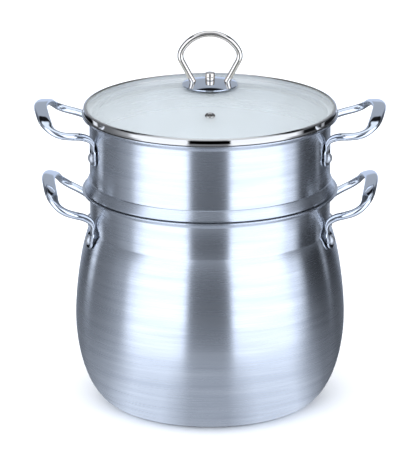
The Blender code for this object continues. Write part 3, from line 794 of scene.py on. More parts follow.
@dataclass
class Handles:
    """Two rod handles of a tier with their rivets.

    Each handle is one chromed rod, flattened to a pad at both ends, where one rivet holds
    it to the wall, and pressed nearly flat along its bowed grip.
    """

    body: Tier
    outline: list[Point]
    rivet_height: float
    rod_radius: float = 3.8 * MM
    pad_radius: float = 9.3 * MM
    pad_thickness: float = 2.2 * MM
    pad_spread: float = 37.5 * MM
    pad_top: float = 15.0 * MM
    leg_spread: float = 49.8 * MM
    reach: float = 52.6 * MM
    rise: float = 42.8 * MM
    grip_width: float = 13.2 * MM
    grip_thickness: float = 4.8 * MM
    rivet_radius: float = 2.5 * MM
    head_radius: float = 5.2 * MM
    head_height: float = 3.6 * MM
    tail_radius: float = 4.0 * MM
    tail_height: float = 1.4 * MM
    section_points: int = 28
    seat_samples: int = 12
    dome_steps: int = 14
    pad_turn: float = 0.35

    def seat(self) -> tuple[float, float, float]:
        """Lay a flat pad against the wall at the rivet.

        Returns:
            The radius of the pad's inner face at the rivet, its tilt, and the slack left
            between that face and the wall.
        """
        top = self.rivet_height + self.pad_top
        top_radius = wall_radius(self.outline, top)
        slope = 0.0
        for sample in range(1, self.seat_samples + 1):
            drop = (self.pad_top + self.pad_radius) * sample / self.seat_samples
            slope = max(slope, (wall_radius(self.outline, top - drop) - top_radius) / drop)
        radius = top_radius + slope * self.pad_top
        return radius, math.atan(slope), radius - wall_radius(self.outline, self.rivet_height)

    def stations(self) -> list[list[float]]:
        """Give the sections along half a handle, from the pad's foot to the grip's middle.

        Returns:
            Rows of out, across, up, half width, half thickness and squareness.
        """
        pad = self.pad_thickness / 2.0
        half = self.grip_width / 2.0
        thin = self.grip_thickness / 2.0
        rod, reach, rise = self.rod_radius, self.reach, self.rise
        spread, leg = self.pad_spread, self.leg_spread
        splay = leg - spread
        return [
            [0.0, spread, -0.985 * self.pad_radius, 0.16 * self.pad_radius, pad * 0.9, 4.0],
            [0.0, spread, -0.9 * self.pad_radius, 0.45 * self.pad_radius, pad, 5.0],
            [0.0, spread, -0.68 * self.pad_radius, 0.76 * self.pad_radius, pad, 5.0],
            [0.0, spread, -0.35 * self.pad_radius, 0.95 * self.pad_radius, pad, 5.0],
            [0.0, spread, 0.0, self.pad_radius, pad, 5.0],
            [0.0, spread, 0.18 * rise, 0.85 * self.pad_radius, pad, 4.0],
            [0.012 * reach, spread, 0.32 * rise, 1.45 * rod, 1.5 * pad, 3.0],
            [0.075 * reach, spread + 0.12 * splay, 0.45 * rise, 1.1 * rod, 0.87 * rod, 2.2],
            [0.21 * reach, spread + 0.38 * splay, 0.53 * rise, rod, rod, 2.0],
            [0.38 * reach, spread + 0.76 * splay, 0.57 * rise, rod, rod, 2.0],
            [0.56 * reach, leg, 0.61 * rise, rod, rod, 2.0],
            [0.71 * reach, 0.997 * leg, 0.68 * rise, 1.1 * rod, 0.95 * rod, 2.2],
            [0.82 * reach, 0.93 * leg, 0.78 * rise, 0.8 * half, 1.3 * thin, 2.6],
            [0.89 * reach, 0.78 * leg, 0.87 * rise, 0.95 * half, 1.1 * thin, 3.0],
            [0.96 * reach, 0.42 * leg, 0.965 * rise, half, thin, 3.2],
            [reach, 0.0, rise, half, thin, 3.2],
        ]

    def section(self, row: Sequence[float], across: Vector, through: Vector) -> list[Vector]:
        """Draw one rounded section of the rod.

        Args:
            row: A station.
            across: Direction of its width.
            through: Direction of its thickness.

        Returns:
            A closed loop of points.
        """
        centre, half_width, half_thickness, squareness = Vector(row[:3]), *row[3:]
        loop = []
        for index in range(self.section_points):
            angle = math.tau * (index + 0.5) / self.section_points
            wide = math.copysign(abs(math.cos(angle)) ** (2.0 / squareness), math.cos(angle))
            thin = math.copysign(abs(math.sin(angle)) ** (2.0 / squareness), math.sin(angle))
            loop.append(centre + across * (half_width * wide)
                        + through * (half_thickness * thin))
        return loop

    def rod(self, pad_angle: float) -> bpy.types.Mesh:
        """Bend and flatten the rod, about the point between its two pads.

        Args:
            pad_angle: Angle that each pad is turned by to lie on the wall.

        Returns:
            The rod's skin.
        """
        half = self.stations()
        whole = half + [[row[0], -row[1], *row[2:]] for row in reversed(half[:-1])]
        rows = smoothed(whole, LOFT_STEPS)
        centres = [Vector(row[:3]) for row in rows]
        rings = []
        for index, row in enumerate(rows):
            ahead = centres[min(index + 1, len(rows) - 1)]
            tangent = (ahead - centres[max(index - 1, 0)]).normalized()
            heading = Vector((tangent.x, tangent.y, 0.0))
            outward = Vector((math.cos(pad_angle), math.sin(pad_angle), 0.0))
            if row[1] < 0.0:
                outward = Vector((-outward.x, outward.y, 0.0))
            share = min(heading.length / self.pad_turn, 1.0)
            heading = outward.lerp(heading.normalized() if heading.length else outward, share)
            across = Vector((0.0, 0.0, 1.0)).cross(heading).normalized()
            through = tangent.cross(across).normalized()
            rings.append(self.section(row, across, through))
        return loft(rings)

    def rivet_line(self, grip: float) -> list[Point]:
        """Draw a rivet about its own axis: domed head above z = 0, shank and tail.

        Args:
            grip: Thickness that it holds together.

        Returns:
            The line from the top of the head to the axis under the tail.
        """
        head, steps = self.head_radius, self.dome_steps
        dome = [
            (head * math.sin(math.pi / 2 * i / steps),
             CONTACT_GAP + self.head_height * math.cos(math.pi / 2 * i / steps))
            for i in range(steps + 1)
        ]
        tail, depth = self.tail_radius, self.tail_height
        return dome + filleted([
            (head, CONTACT_GAP, 0.0), (self.rivet_radius, CONTACT_GAP, 0.0),
            (self.rivet_radius, -grip, 0.0), (tail, -grip, 0.0),
            (tail, -grip - depth, 0.5 * depth), (0.0, -grip - depth, 0.0)])[1:]

    def build(self, shop: Workshop) -> None:
        """Build both handles and their four rivets."""
        radius, tilt, slack = self.seat()
        middle = radius + (PAD_GAP + self.pad_thickness / 2.0) / math.cos(tilt)
        pad_angle = math.asin(self.pad_spread / middle)
        spots, outwards = [], []
        for side, turn in (("right", 0.0), ("left", math.pi)):
            place = (
                Matrix.Rotation(turn, 4, "Z")
                @ Matrix.Translation((middle * math.cos(pad_angle), 0.0, self.rivet_height))
                @ Matrix.Rotation(-tilt, 4, "Y")
            )
            mesh = self.rod(pad_angle)
            mesh.transform(place)
            node = f"{self.body.value}_handle_{side}"
            finished(f"{node}_rod", mesh, CHROME, self.body, [node])
            for sign in (-1.0, 1.0):
                normal = Vector((math.cos(pad_angle), sign * math.sin(pad_angle), 0.0))
                centre = Vector((0.0, sign * self.pad_spread, 0.0))
                spots.append(place @ (centre + normal * (self.pad_thickness / 2.0)))
                outwards.append(place.to_3x3() @ normal)
        grip = self.pad_thickness + PAD_GAP + slack + WALL + 2.0 * CONTACT_GAP
        self.rivets(shop, spots, outwards, grip)

    def rivets(
        self, shop: Workshop, spots: list[Vector], outwards: list[Vector], grip: float
    ) -> None:
        """Set the four rivets.

        Args:
            shop: The node recipes.
            spots: Middles of the pads' outer faces.
            outwards: Their outward directions.
            grip: Thickness that each rivet holds together.
        """
        shape = shop.turn(self.rivet_line(grip), RIVET_ALUMINIUM, RIVET_SEGMENTS)
        pattern = bpy.data.objects.new("rivet_pattern", shape)
        bpy.context.scene.collection.objects.link(pattern)
        source = bpy.data.meshes.new("rivet_spots")
        source.from_pydata(spots, [], [])
        attribute = source.attributes.new("outward", "FLOAT_VECTOR", "POINT")
        for item, outward in zip(attribute.data, outwards):
            item.vector = outward
        made = shop.riveting.run(
            source, {"Rivet": pattern, "Finish": RIVET_ALUMINIUM.material()})
        bpy.data.objects.remove(pattern, do_unlink=True)
        tier = self.body.value
        nodes = [f"{tier}_rivet_{side}_{end}"
                 for side in ("left", "right") for end in ("front", "back")]
        finished(f"{tier}_rivets", made, RIVET_ALUMINIUM, self.body, nodes)


# ---------------------------------------------------------------- tiers


@dataclass
class TierShell:
    """What the pot and the steamer tier share: a straight neck under a flared rim."""

    body: Tier
    rim_ledge: float = 4.5 * MM
    rim_drop: float = 4.5 * MM
    rim_fillet: float = 2.5 * MM
    ledge_fillet: float = 1.0 * MM

    def rim_corners(self, top: float) -> list[Corner]:
        """Give the corners of the rim's outside, from its lip to the neck.

        Args:
            top: Height of the rim's top.
        """
        under = top - WALL
        return [
            (RIM_RADIUS - WALL / 2.0, under, 0.0),
            (RIM_RADIUS - self.rim_ledge, under, self.ledge_fillet),
            (NECK_RADIUS, under - self.rim_drop, self.rim_fillet),
        ]


@dataclass
class Pot(TierShell):
    """Bellied pot with its two handles."""

    height: float = 219.0 * MM
    neck_height: float = 38.0 * MM
    belly_radius: float = 135.0 * MM
    belly_height: float = 89.0 * MM
    base_radius: float = 94.5 * MM
    shoulder_angle: float = math.radians(29.0)
    shoulder_pull: float = 18.0 * MM
    upper_belly_pull: float = 26.0 * MM
    lower_belly_pull: float = 44.5 * MM
    base_pull: float = 24.5 * MM
    rivet_drop: float = 43.5 * MM

    def outline(self) -> list[Point]:
        """Draw the outside from the rim down to the middle of the base."""
        foot = self.height - self.neck_height
        neck = filleted(self.rim_corners(self.height) + [(NECK_RADIUS, foot, 0.0)])
        sine, cosine = math.sin(self.shoulder_angle), math.cos(self.shoulder_angle)
        belly, base = self.belly_radius, self.base_radius
        shoulder = bezier(
            (NECK_RADIUS, foot),
            (NECK_RADIUS + self.shoulder_pull * sine, foot - self.shoulder_pull * cosine),
            (belly, self.belly_height + self.upper_belly_pull),
            (belly, self.belly_height),
        )
        bowl = bezier(
            (belly, self.belly_height),
            (belly, self.belly_height - self.lower_belly_pull),
            (base + self.base_pull, 0.0),
            (base, 0.0),
        )
        return neck + shoulder + bowl + [(0.0, 0.0)]

    def build(self, shop: Workshop) -> None:
        """Build the shell, the handles and the rivets."""
        outside = self.outline()
        inside = inset(outside, WALL)
        section = outside + inside[::-1] + lip(outside[0], inside[0]) + outside[:1]
        mesh = shop.turn(section, ALUMINIUM)
        finished("pot_spun_shell", mesh, ALUMINIUM, self.body, ["pot_shell"])
        Handles(self.body, outside, self.height - self.rivet_drop).build(shop)


@dataclass
class Steamer(TierShell):
    """Steamer tier: a collar that sits on the pot's rim, and a pierced floor in its mouth."""

    seat: float = 219.3 * MM
    height: float = 77.5 * MM
    collar_radius: float = 124.8 * MM
    collar_height: float = 11.0 * MM
    collar_edge: float = 1.4 * MM
    crease_fillet: float = 1.5 * MM
    crease_step: float = 1.0 * MM
    collar_gap: float = 0.7 * MM
    collar_fillet: float = 0.5 * MM
    spigot_depth: float = 22.0 * MM
    spigot_fillet: float = 5.0 * MM
    spigot_clearance: float = 0.9 * MM
    hole_radius: float = 4.0 * MM
    hole_pitch: float = 22.0 * MM
    hole_rings: int = 4
    hole_turn: float = math.radians(2.5)
    rivet_drop: float = 36.7 * MM

    def corners(self, collar: Sequence[Corner]) -> list[Corner]:
        """Give the corners of the wall, with a collar drawn one way or another.

        Args:
            collar: The collar's outer corners.
        """
        seat = self.seat
        spigot = NECK_RADIUS - WALL - self.spigot_clearance
        floor = seat - self.spigot_depth
        return self.rim_corners(seat + self.height) + [
            (NECK_RADIUS, seat + self.collar_height, 0.3 * self.crease_fillet),
            (NECK_RADIUS + self.crease_step, seat + self.collar_height, 0.5 * self.crease_step),
            *collar,
            (spigot, seat, ROLLED_EDGE),
            (spigot, floor, self.spigot_fillet),
            (spigot - self.spigot_fillet, floor, 0.0),
        ]

    def outline(self) -> list[Point]:
        """Draw the outside from the rim down to where the flat floor starts."""
        radius, seat = self.collar_radius, self.seat
        return filleted(self.corners([
            (radius, seat + self.collar_gap + self.collar_edge, self.collar_fillet),
            (radius, seat + self.collar_gap, BROKEN_EDGE),
            (radius - 3.0 * self.collar_gap, seat, 0.0)]))

    def inside(self) -> list[Point]:
        """Draw the inside, where the folded collar leaves a groove."""
        slope = (self.collar_radius - NECK_RADIUS) / (self.collar_height - self.collar_edge)
        tip = self.collar_radius + slope * self.collar_edge
        return inset(filleted(self.corners([(tip, self.seat, 0.0)])), WALL)

    def build(self, shop: Workshop) -> None:
        """Build the pierced shell, the handles and the rivets."""
        outside, inside = self.outline(), self.inside()
        section = inside[::-1] + lip(outside[0], inside[0]) + outside
        wall = shop.turn(section, ALUMINIUM)
        mesh = shop.piercing.run(wall, {
            "Floor Radius": outside[-1][0], "Floor Height": outside[-1][1], "Sheet": WALL,
            "Segments": SHELL_SEGMENTS, "Hole Radius": self.hole_radius, "Hole Sides": HOLE_SIDES,
            "Pitch": self.hole_pitch, "Rings": self.hole_rings, "Turn": self.hole_turn,
            "Finish": ALUMINIUM.material()})
        finished("steamer_pierced_shell", mesh, ALUMINIUM, self.body, ["steamer_shell"])
        rivet_height = self.seat + self.height - self.rivet_drop
        Handles(self.body, outside, rivet_height).build(shop)


# ---------------------------------------------------------------- lid


@dataclass
class Knob:
    """Wire loop on a domed saucer, held by a screw and a nut through the glass."""

    wire_radius: float = 3.1 * MM
    top_radius: float = 31.9 * MM
    top_angle: float = math.radians(60.0)
    shoulder_radius: float = 12.5 * MM
    leg_tilt: float = math.radians(28.0)
    leg_length: float = 25.6 * MM
    saucer_radius: float = 28.0 * MM
    saucer_rise: float = 4.0 * MM
    saucer_sheet: float = 1.2 * MM
    saucer_lift: float = 2.3 * MM
    screw_radius: float = 2.0 * MM
    screw_hole: float = 2.4 * MM
    screw_head: float = 4.6 * MM
    screw_head_height: float = 2.4 * MM
    nut_radius: float = 5.0 * MM
    nut_height: float = 7.2 * MM
    nut_chamfer: float = 0.8 * MM
    washer_radius: float = 7.0 * MM
    washer_thickness: float = 1.0 * MM
    gasket_radius: float = 9.5 * MM
    gasket_thickness: float = 1.6 * MM
    nut_depth: float = 1.5 * MM
    screw_head_fillet: float = 0.3 * MM
    screw_dome: float = 1.2 * MM
    bore_break: float = 0.1 * MM
    washer_fillet: float = 0.35 * MM
    arc_steps: int = 10
    wire_sides: int = 24
    saucer_steps: int = 24

    def route(self) -> list[Vector]:
        """Draw the wire's centreline about the top arc's centre, from foot to foot."""
        top_end = Vector((math.sin(self.top_angle), math.cos(self.top_angle)))
        shoulder = top_end * (self.top_radius - self.shoulder_radius)
        leg_angle = math.pi / 2 + self.leg_tilt
        leg_top = shoulder + self.shoulder_radius * Vector(
            (math.sin(leg_angle), math.cos(leg_angle)))
        leg = Vector((-math.sin(self.leg_tilt), -math.cos(self.leg_tilt)))
        steps = self.arc_steps
        points = [leg_top + leg * (self.leg_length * (1.0 - i / steps)) for i in range(steps)]
        for i in range(steps + 1):
            angle = leg_angle + (self.top_angle - leg_angle) * i / steps
            points.append(shoulder + self.shoulder_radius * Vector(
                (math.sin(angle), math.cos(angle))))
        arc = 3 * steps
        for i in range(1, arc + 1):
            angle = self.top_angle * (1.0 - i / arc)
            points.append(self.top_radius * Vector((math.sin(angle), math.cos(angle))))
        return points + [Vector((-p.x, p.y)) for p in reversed(points[:-1])]

    def loop_mesh(self, foot_height: float) -> bpy.types.Mesh:
        """Sweep the wire along its route.

        Args:
            foot_height: Height of the feet.

        Returns:
            The wire's skin.
        """
        route = self.route()
        base = foot_height - route[0].y
        rings, sides = [], self.wire_sides
        for index, point in enumerate(route):
            ahead = route[min(index + 1, len(route) - 1)]
            along = (ahead - route[max(index - 1, 0)]).normalized()
            normal = Vector((-along.y, 0.0, along.x))
            centre = Vector((point.x, 0.0, point.y + base))
            rings.append([
                centre + self.wire_radius * (normal * math.cos(math.tau * k / sides)
                                             + Vector((0.0, math.sin(math.tau * k / sides), 0.0)))
                for k in range(sides)
            ])
        return loft(rings)


@dataclass
class Lid:
    """Domed glass in a pressed steel ring, with a vent eyelet and the knob."""

    body: Tier = Tier.LID
    seat: float = 297.1 * MM
    glass_thickness: float = 4.0 * MM
    glass_crown: float = 26.5 * MM
    glass_hole: float = 4.5 * MM
    ring_sheet: float = 0.8 * MM
    ring_radius: float = 126.0 * MM
    ring_lip: float = 2.4 * MM
    ring_skirt: float = 6.0 * MM
    ring_fillet: float = 1.4 * MM
    ring_foot_fillet: float = 0.5 * MM
    ring_clearance: float = 0.9 * MM
    edge_clearance: float = 0.6 * MM
    vent_offset: float = 80.0 * MM
    vent_hole: float = 3.6 * MM
    vent_tube: float = 3.2 * MM
    vent_bore: float = 2.4 * MM
    vent_flange: float = 5.1 * MM
    vent_flange_height: float = 1.2 * MM
    vent_roll: float = 0.9 * MM
    glass_bevel: float = 0.6 * MM
    glass_bevel_low: float = 0.1 * MM
    glass_steps: int = 40
    drill_depth: float = 20.0 * MM
    knob: Knob = field(default_factory=Knob)

    def glass_radius(self) -> float:
        """Give the glass's outer radius."""
        return self.ring_radius - self.ring_sheet - self.edge_clearance

    def edge_top(self) -> float:
        """Give the height of the glass's upper edge."""
        return self.seat + self.ring_sheet + CONTACT_GAP + self.glass_thickness

    def sphere(self) -> float:
        """Give the radius of the sphere that the glass's upper face lies on."""
        rise = self.seat + self.glass_crown - self.edge_top()
        return (self.glass_radius() ** 2 + rise ** 2) / (2.0 * rise)

    def glass_top(self, radius: float) -> float:
        """Give the height of the glass's upper face at a radius."""
        sphere = self.sphere()
        return self.seat + self.glass_crown - sphere + math.sqrt(sphere ** 2 - radius ** 2)

    def saucer_top(self, radius: float) -> float:
        """Give the height of the saucer's upper face at a radius."""
        knob = self.knob
        share = radius / knob.saucer_radius
        rim = self.glass_top(knob.saucer_radius) + knob.saucer_lift
        return rim + knob.saucer_sheet + knob.saucer_rise * (1.0 - share * share)

    def vent_frame(self) -> Matrix:
        """Give the vent's frame on the glass's upper face, Z along the glass's normal."""
        tilt = math.asin(self.vent_offset / self.sphere())
        place = Matrix.Translation((0.0, -self.vent_offset, self.glass_top(self.vent_offset)))
        return place @ Matrix.Rotation(tilt, 4, "X")

    def glass(self, shop: Workshop) -> None:
        """Build the glass with ground edges and its vent hole."""
        steps, bevel = self.glass_steps, self.glass_bevel
        spread = self.glass_radius() - self.glass_hole
        radii = [self.glass_hole + spread * i / steps for i in range(steps + 1)]
        top = [(r, self.glass_top(r)) for r in radii]
        under = [(r, z - self.glass_thickness) for r, z in reversed(top)]
        rim_r, rim_z = top[-1]
        low_z = under[0][1]
        top[-1:] = [(rim_r - bevel, self.glass_top(rim_r - bevel)), (rim_r, rim_z - bevel)]
        under[:1] = [(rim_r, low_z + bevel), (rim_r - bevel, low_z + self.glass_bevel_low)]
        mesh = shop.turn(top + under + top[:1], GLASS)
        piece = bpy.data.objects.new("glass_blank", mesh)
        bpy.context.scene.collection.objects.link(piece)
        cutter_mesh = bpy.data.meshes.new("vent_drill")
        drill = bmesh.new()
        bmesh.ops.create_cone(drill, cap_ends=True, segments=SMALL_SEGMENTS,
                              radius1=self.vent_hole, radius2=self.vent_hole,
                              depth=self.drill_depth, matrix=self.vent_frame())
        drill.to_mesh(cutter_mesh)
        drill.free()
        cutter = bpy.data.objects.new("vent_drill", cutter_mesh)
        bpy.context.scene.collection.objects.link(cutter)
        boolean = piece.modifiers.new("vent", "BOOLEAN")
        boolean.operation, boolean.solver, boolean.object = "DIFFERENCE", "EXACT", cutter
        graph = bpy.context.evaluated_depsgraph_get()
        cut = bpy.data.meshes.new_from_object(piece.evaluated_get(graph))
        for spare in (piece, cutter):
            bpy.data.objects.remove(spare, do_unlink=True)
        finished("lid_glass_dome", cut, GLASS, self.body, ["lid_glass"])

    def ring(self, shop: Workshop) -> None:
        """Build the pressed ring round the glass, with its skirt."""
        inner = self.ring_radius - self.ring_lip
        skirt = NECK_RADIUS - WALL - self.ring_clearance
        slope = (self.glass_top(inner) - self.edge_top()) / (self.glass_radius() - inner)
        cover = (self.ring_sheet + 2.0 * CONTACT_GAP) * math.hypot(1.0, slope)
        shoulder = self.edge_top() + cover - slope * (self.ring_radius - self.glass_radius())
        outside = filleted([
            (inner, self.glass_top(inner) + cover, 0.0),
            (self.ring_radius, shoulder, self.ring_fillet),
            (self.ring_radius, self.seat, self.ring_foot_fillet),
            (skirt, self.seat, SOFT_EDGE),
            (skirt, self.seat - self.ring_skirt, 0.0),
        ])
        inside = inset(outside, self.ring_sheet)
        foot = lip(inside[-1], outside[-1])
        section = outside + foot + inside[::-1] + lip(outside[0], inside[0]) + outside[:1]
        mesh = shop.turn(section, STAINLESS)
        finished("lid_pressed_ring", mesh, STAINLESS, self.body, ["lid_ring"])

    def vent(self, shop: Workshop) -> None:
        """Build the hollow eyelet, rolled over both faces of the glass."""
        gap, flange, rise = CONTACT_GAP, self.vent_flange, self.vent_flange_height
        under = -self.glass_thickness - gap
        line = filleted([
            (self.vent_bore, 0.0, 0.0),
            (self.vent_bore, gap + rise, ROLLED_EDGE),
            (flange, gap + rise, self.vent_roll),
            (flange, gap, BROKEN_EDGE),
            (self.vent_tube, gap, 0.0),
            (self.vent_tube, under, 0.0),
            (0.9 * flange, under, BROKEN_EDGE),
            (0.9 * flange, under - rise, ROLLED_EDGE),
            (self.vent_bore, under - rise, SOFT_EDGE),
            (self.vent_bore, 0.0, 0.0),
        ])
        mesh = shop.turn(line, STAINLESS, SMALL_SEGMENTS)
        mesh.transform(self.vent_frame())
        finished("lid_vent_rolled", mesh, STAINLESS, self.body, ["lid_vent_eyelet"])

    def hardware(self, shop: Workshop) -> None:
        """Build the saucer, loop, nut, screw, washer and gaskets."""
        knob, gap = self.knob, CONTACT_GAP
        steps = knob.saucer_steps
        hole, sheet = knob.screw_hole, knob.saucer_sheet
        edge = knob.saucer_radius - sheet / 2.0
        radii = [hole + (edge - hole) * i / steps for i in range(steps + 1)]
        top = [(r, self.saucer_top(r)) for r in radii]
        under = [(r, z - sheet) for r, z in reversed(top)]
        rim = lip(under[0], top[-1])
        mesh = shop.turn(top + rim + under + top[:1], CHROME, DISC_SEGMENTS)
        finished("knob_saucer_dome", mesh, CHROME, self.body, ["knob_saucer"])

        foot = knob.route()[0]
        mesh = knob.loop_mesh(self.saucer_top(foot.x) - 2.0 * sheet)
        finished("knob_loop_wire", mesh, NICKEL, self.body, ["knob_loop"])

        low = self.saucer_top(hole) + gap
        high = low + knob.nut_height
        bore = high - knob.nut_depth
        self.turned_part(shop, "knob_nut", [
            (0.0, high, 0.0), (knob.nut_radius, high, knob.nut_chamfer),
            (knob.nut_radius, low, BROKEN_EDGE), (hole, low, 0.0), (hole, bore, 0.0),
            (0.0, bore, 0.0)], NICKEL)

        upper = self.saucer_top(knob.gasket_radius) - sheet - gap
        lower = self.glass_top(self.glass_hole) + 2.0 * gap
        self.washer(shop, "knob_gasket_upper", knob.gasket_radius, lower, upper, SILICONE)
        lower_high = self.glass_top(knob.gasket_radius) - self.glass_thickness - gap
        lower_low = lower_high - knob.gasket_thickness
        self.washer(shop, "knob_gasket_lower", knob.gasket_radius, lower_low, lower_high,
                    SILICONE)
        washer_high = lower_low - gap
        washer_low = washer_high - knob.washer_thickness
        self.washer(shop, "knob_washer", knob.washer_radius, washer_low, washer_high,
                    STAINLESS)
        head = washer_low - gap
        foot_z = head - knob.screw_head_height
        self.turned_part(shop, "knob_screw", [
            (0.0, bore - gap, 0.0), (knob.screw_radius, bore - gap, SOFT_EDGE),
            (knob.screw_radius, head, 0.0), (knob.screw_head, head, knob.screw_head_fillet),
            (knob.screw_head, foot_z, knob.screw_dome), (0.0, foot_z, 0.0)],
            STAINLESS)

    def washer(
        self, shop: Workshop, node: str, radius: float, low: float, high: float, finish: Finish
    ) -> None:
        """Build a washer or gasket round the screw.

        Args:
            shop: The node recipes.
            node: The CAD node that it replaces.
            radius: Outer radius.
            low: Height of its lower face.
            high: Height of its upper face.
            finish: Its finish.
        """
        knob = self.knob
        hole, edge = knob.screw_hole, knob.bore_break
        soft = min(knob.washer_fillet, 0.3 * (high - low))
        middle = (low + high) / 2.0
        self.turned_part(shop, node, [
            (hole, middle, 0.0), (hole, high, edge), (radius, high, soft),
            (radius, low, soft), (hole, low, edge), (hole, middle, 0.0)], finish)

    def turned_part(
        self, shop: Workshop, node: str, corners: list[Corner], finish: Finish
    ) -> None:
        """Build a small turned part that replaces one CAD node."""
        mesh = shop.turn(filleted(corners), finish, SMALL_SEGMENTS)
        finished(f"{node}_turned", mesh, finish, self.body, [node])

    def build(self, shop: Workshop) -> None:
        """Build the whole lid."""
        self.glass(shop)
        self.ring(shop)
        self.vent(shop)
        self.hardware(shop)


# ---------------------------------------------------------------- studio


@dataclass
class Studio:
    """Pale floor, soft light and the camera.

    A tent that only reflections see gives the metal its bands. Its brightness goes round
    the axis by stops of degrees from the front and level: near stops on the floor close to
    the pot, box stops beyond them, and card stops where a place's radius and height add up
    to card_run, which the lid's ring and the knob mirror.
    """

    target_height: float = 175.2 * MM
    distance: float = 4.2
    elevation: float = math.radians(17.1)
    focal_length: float = 329.4
    sensor_width: float = 36.0
    clip_end: float = 100.0
    floor_radius: float = 30.0
    floor_drop: float = 0.5 * MM
    floor_colour: Colour = (0.93, 0.935, 0.94, 1.0)
    floor_roughness: float = 0.9
    floor_gloss: float = 0.1
    tent_mouth: float = 0.1
    tent_radius: float = 1.4
    tent_height: float = 1.5
    tent_top: float = 2.3
    near_fade: tuple[float, float] = (0.25, 0.6)
    card_run: float = 1.36
    card_half: float = 0.32
    back_fade: tuple[float, float] = (1.0, 1.2)
    back_height: tuple[float, float] = (0.45, 0.55)
    back_colour: Colour = (0.6, 0.7, 0.9, 1.0)
    gap_height: float = 1.66
    gap_half: float = 0.12
    gap_colour: Colour = (0.01, 0.01, 0.012, 1.0)
    ceiling_height: tuple[float, float] = (1.88, 1.92)
    ceiling_colour: Colour = (0.95, 1.05, 1.2, 1.0)
    sky_power: float = 4.2
    sky_angle: float = math.radians(170.0)
    sky_turn: tuple[float, float, float] = (math.radians(20.0), math.radians(-15.0), 0.0)
    tint: tuple[float, float, float] = (0.9, 1.0, 1.18)
    box_stops: tuple[Point, ...] = (
        (-180, 0.45), (-158, 0.45), (-140, 0.15), (-100, 0.22), (-84, 0.3), (-72, 0.45),
        (-60, 1.65), (-21, 1.65), (-17, 0.35), (0, 0.3), (15, 0.3), (19, 1.65), (66, 1.7),
        (76, 0.55), (88, 0.28), (100, 0.13), (140, 0.09), (155, 0.45), (180, 0.45))
    card_stops: tuple[Point, ...] = (
        (-180, 0.04), (-152, 0.02), (-128, 0.0), (-125, 1.3), (-119, 1.3),
        (-117, 0.16), (-95, 0.25), (-76, 0.6), (-70, 1.6), (-19, 1.6), (-18, 0.0),
        (17, 0.0), (18, 1.6), (80, 1.6), (90, 0.01), (115, 0.01), (117, 0.6),
        (120, 0.6), (122, 0.01), (152, 0.02), (180, 0.04))
    near_stops: tuple[Point, ...] = (
        (-180, 0.3), (-120, 0.22), (-90, 0.36), (-72, 0.5), (-50, 0.95), (-28, 0.9),
        (-12, 0.52), (10, 0.52), (28, 0.9), (55, 0.95), (72, 0.5), (88, 0.25), (120, 0.13),
        (180, 0.3))

    def camera(self) -> None:
        """Place the camera."""
        data = bpy.data.cameras.new("camera")
        data.lens = self.focal_length
        data.sensor_width = self.sensor_width
        data.sensor_fit = "AUTO"
        data.clip_end = self.clip_end
        eye = bpy.data.objects.new("camera", data)
        eye.location = (0.0, -self.distance * math.cos(self.elevation),
                        self.target_height + self.distance * math.sin(self.elevation))
        eye.rotation_euler = (math.pi / 2 - self.elevation, 0.0, 0.0)
        bpy.context.scene.collection.objects.link(eye)
        bpy.context.scene.camera = eye

    def floor(self) -> None:
        """Lay a large pale floor."""
        mat = bpy.data.materials.new("pale_floor")
        mat.use_nodes = True
        shader = mat.node_tree.nodes["Principled BSDF"]
        shader.inputs["Base Color"].default_value = self.floor_colour
        shader.inputs["Roughness"].default_value = self.floor_roughness
        shader.inputs["Specular IOR Level"].default_value = self.floor_gloss
        disc = bmesh.new()
        bmesh.ops.create_circle(disc, cap_ends=True, segments=DISC_SEGMENTS,
                                radius=self.floor_radius)
        mesh = bpy.data.meshes.new("floor")
        disc.to_mesh(mesh)
        disc.free()
        mesh.materials.append(mat)
        floor = bpy.data.objects.new("floor", mesh)
        floor.location.z = -self.floor_drop
        bpy.context.scene.collection.objects.link(floor)

    def heading(
        self, tree: bpy.types.NodeTree, place: bpy.types.NodeSocket
    ) -> bpy.types.NodeSocket:
        """Give the heading of a place round the axis, one turn from back to back.

        Args:
            tree: The tree that takes the nodes.
            place: A place or direction.

        Returns:
            Nought at the back, a half at the front, one at the back again.
        """
        apart = add_node(tree, "ShaderNodeSeparateXYZ", {0: place})
        front = result(tree, MATH, apart.outputs[1], -1.0, operation="MULTIPLY")
        azimuth = result(tree, MATH, apart.outputs[0], front, operation="ARCTAN2")
        return result(tree, "ShaderNodeMapRange", azimuth, -math.pi, math.pi, 0.0, 1.0)

    def ramp(
        self, tree: bpy.types.NodeTree, share: bpy.types.NodeSocket, stops: Sequence[Point]
    ) -> bpy.types.NodeSocket:
        """Set brightness round the axis.

        Args:
            tree: The tree that takes the node.
            share: Heading, from nought to one over a full turn that starts at the back.
            stops: Heading in degrees from the front, and brightness there.

        Returns:
            The slightly blue light.
        """
        ramp = add_node(tree, "ShaderNodeValToRGB", {0: share})
        elements = ramp.color_ramp.elements
        while len(elements) > 1:
            elements.remove(elements[0])
        for index, (degrees, level) in enumerate(stops):
            spot = degrees / 360.0 + 0.5
            item = elements[0] if index == 0 else elements.new(spot)
            item.position = spot
            item.color = (*(level * part for part in self.tint), 1.0)
        return ramp.outputs[0]

    def band(
        self, tree: bpy.types.NodeTree, value: bpy.types.NodeSocket, middle: float, half: float
    ) -> bpy.types.NodeSocket:
        """Pick out a band of values.

        Args:
            tree: The tree that takes the nodes.
            value: What is measured.
            middle: The value in the middle of the band.
            half: Half the band's width.

        Returns:
            One inside the band, falling to nought over a third of its half width.
        """
        away = result(tree, MATH, value, middle, operation="SUBTRACT")
        size = result(tree, MATH, away, operation="ABSOLUTE")
        return result(tree, "ShaderNodeMapRange", size, half, 1.3 * half, 1.0, 0.0)

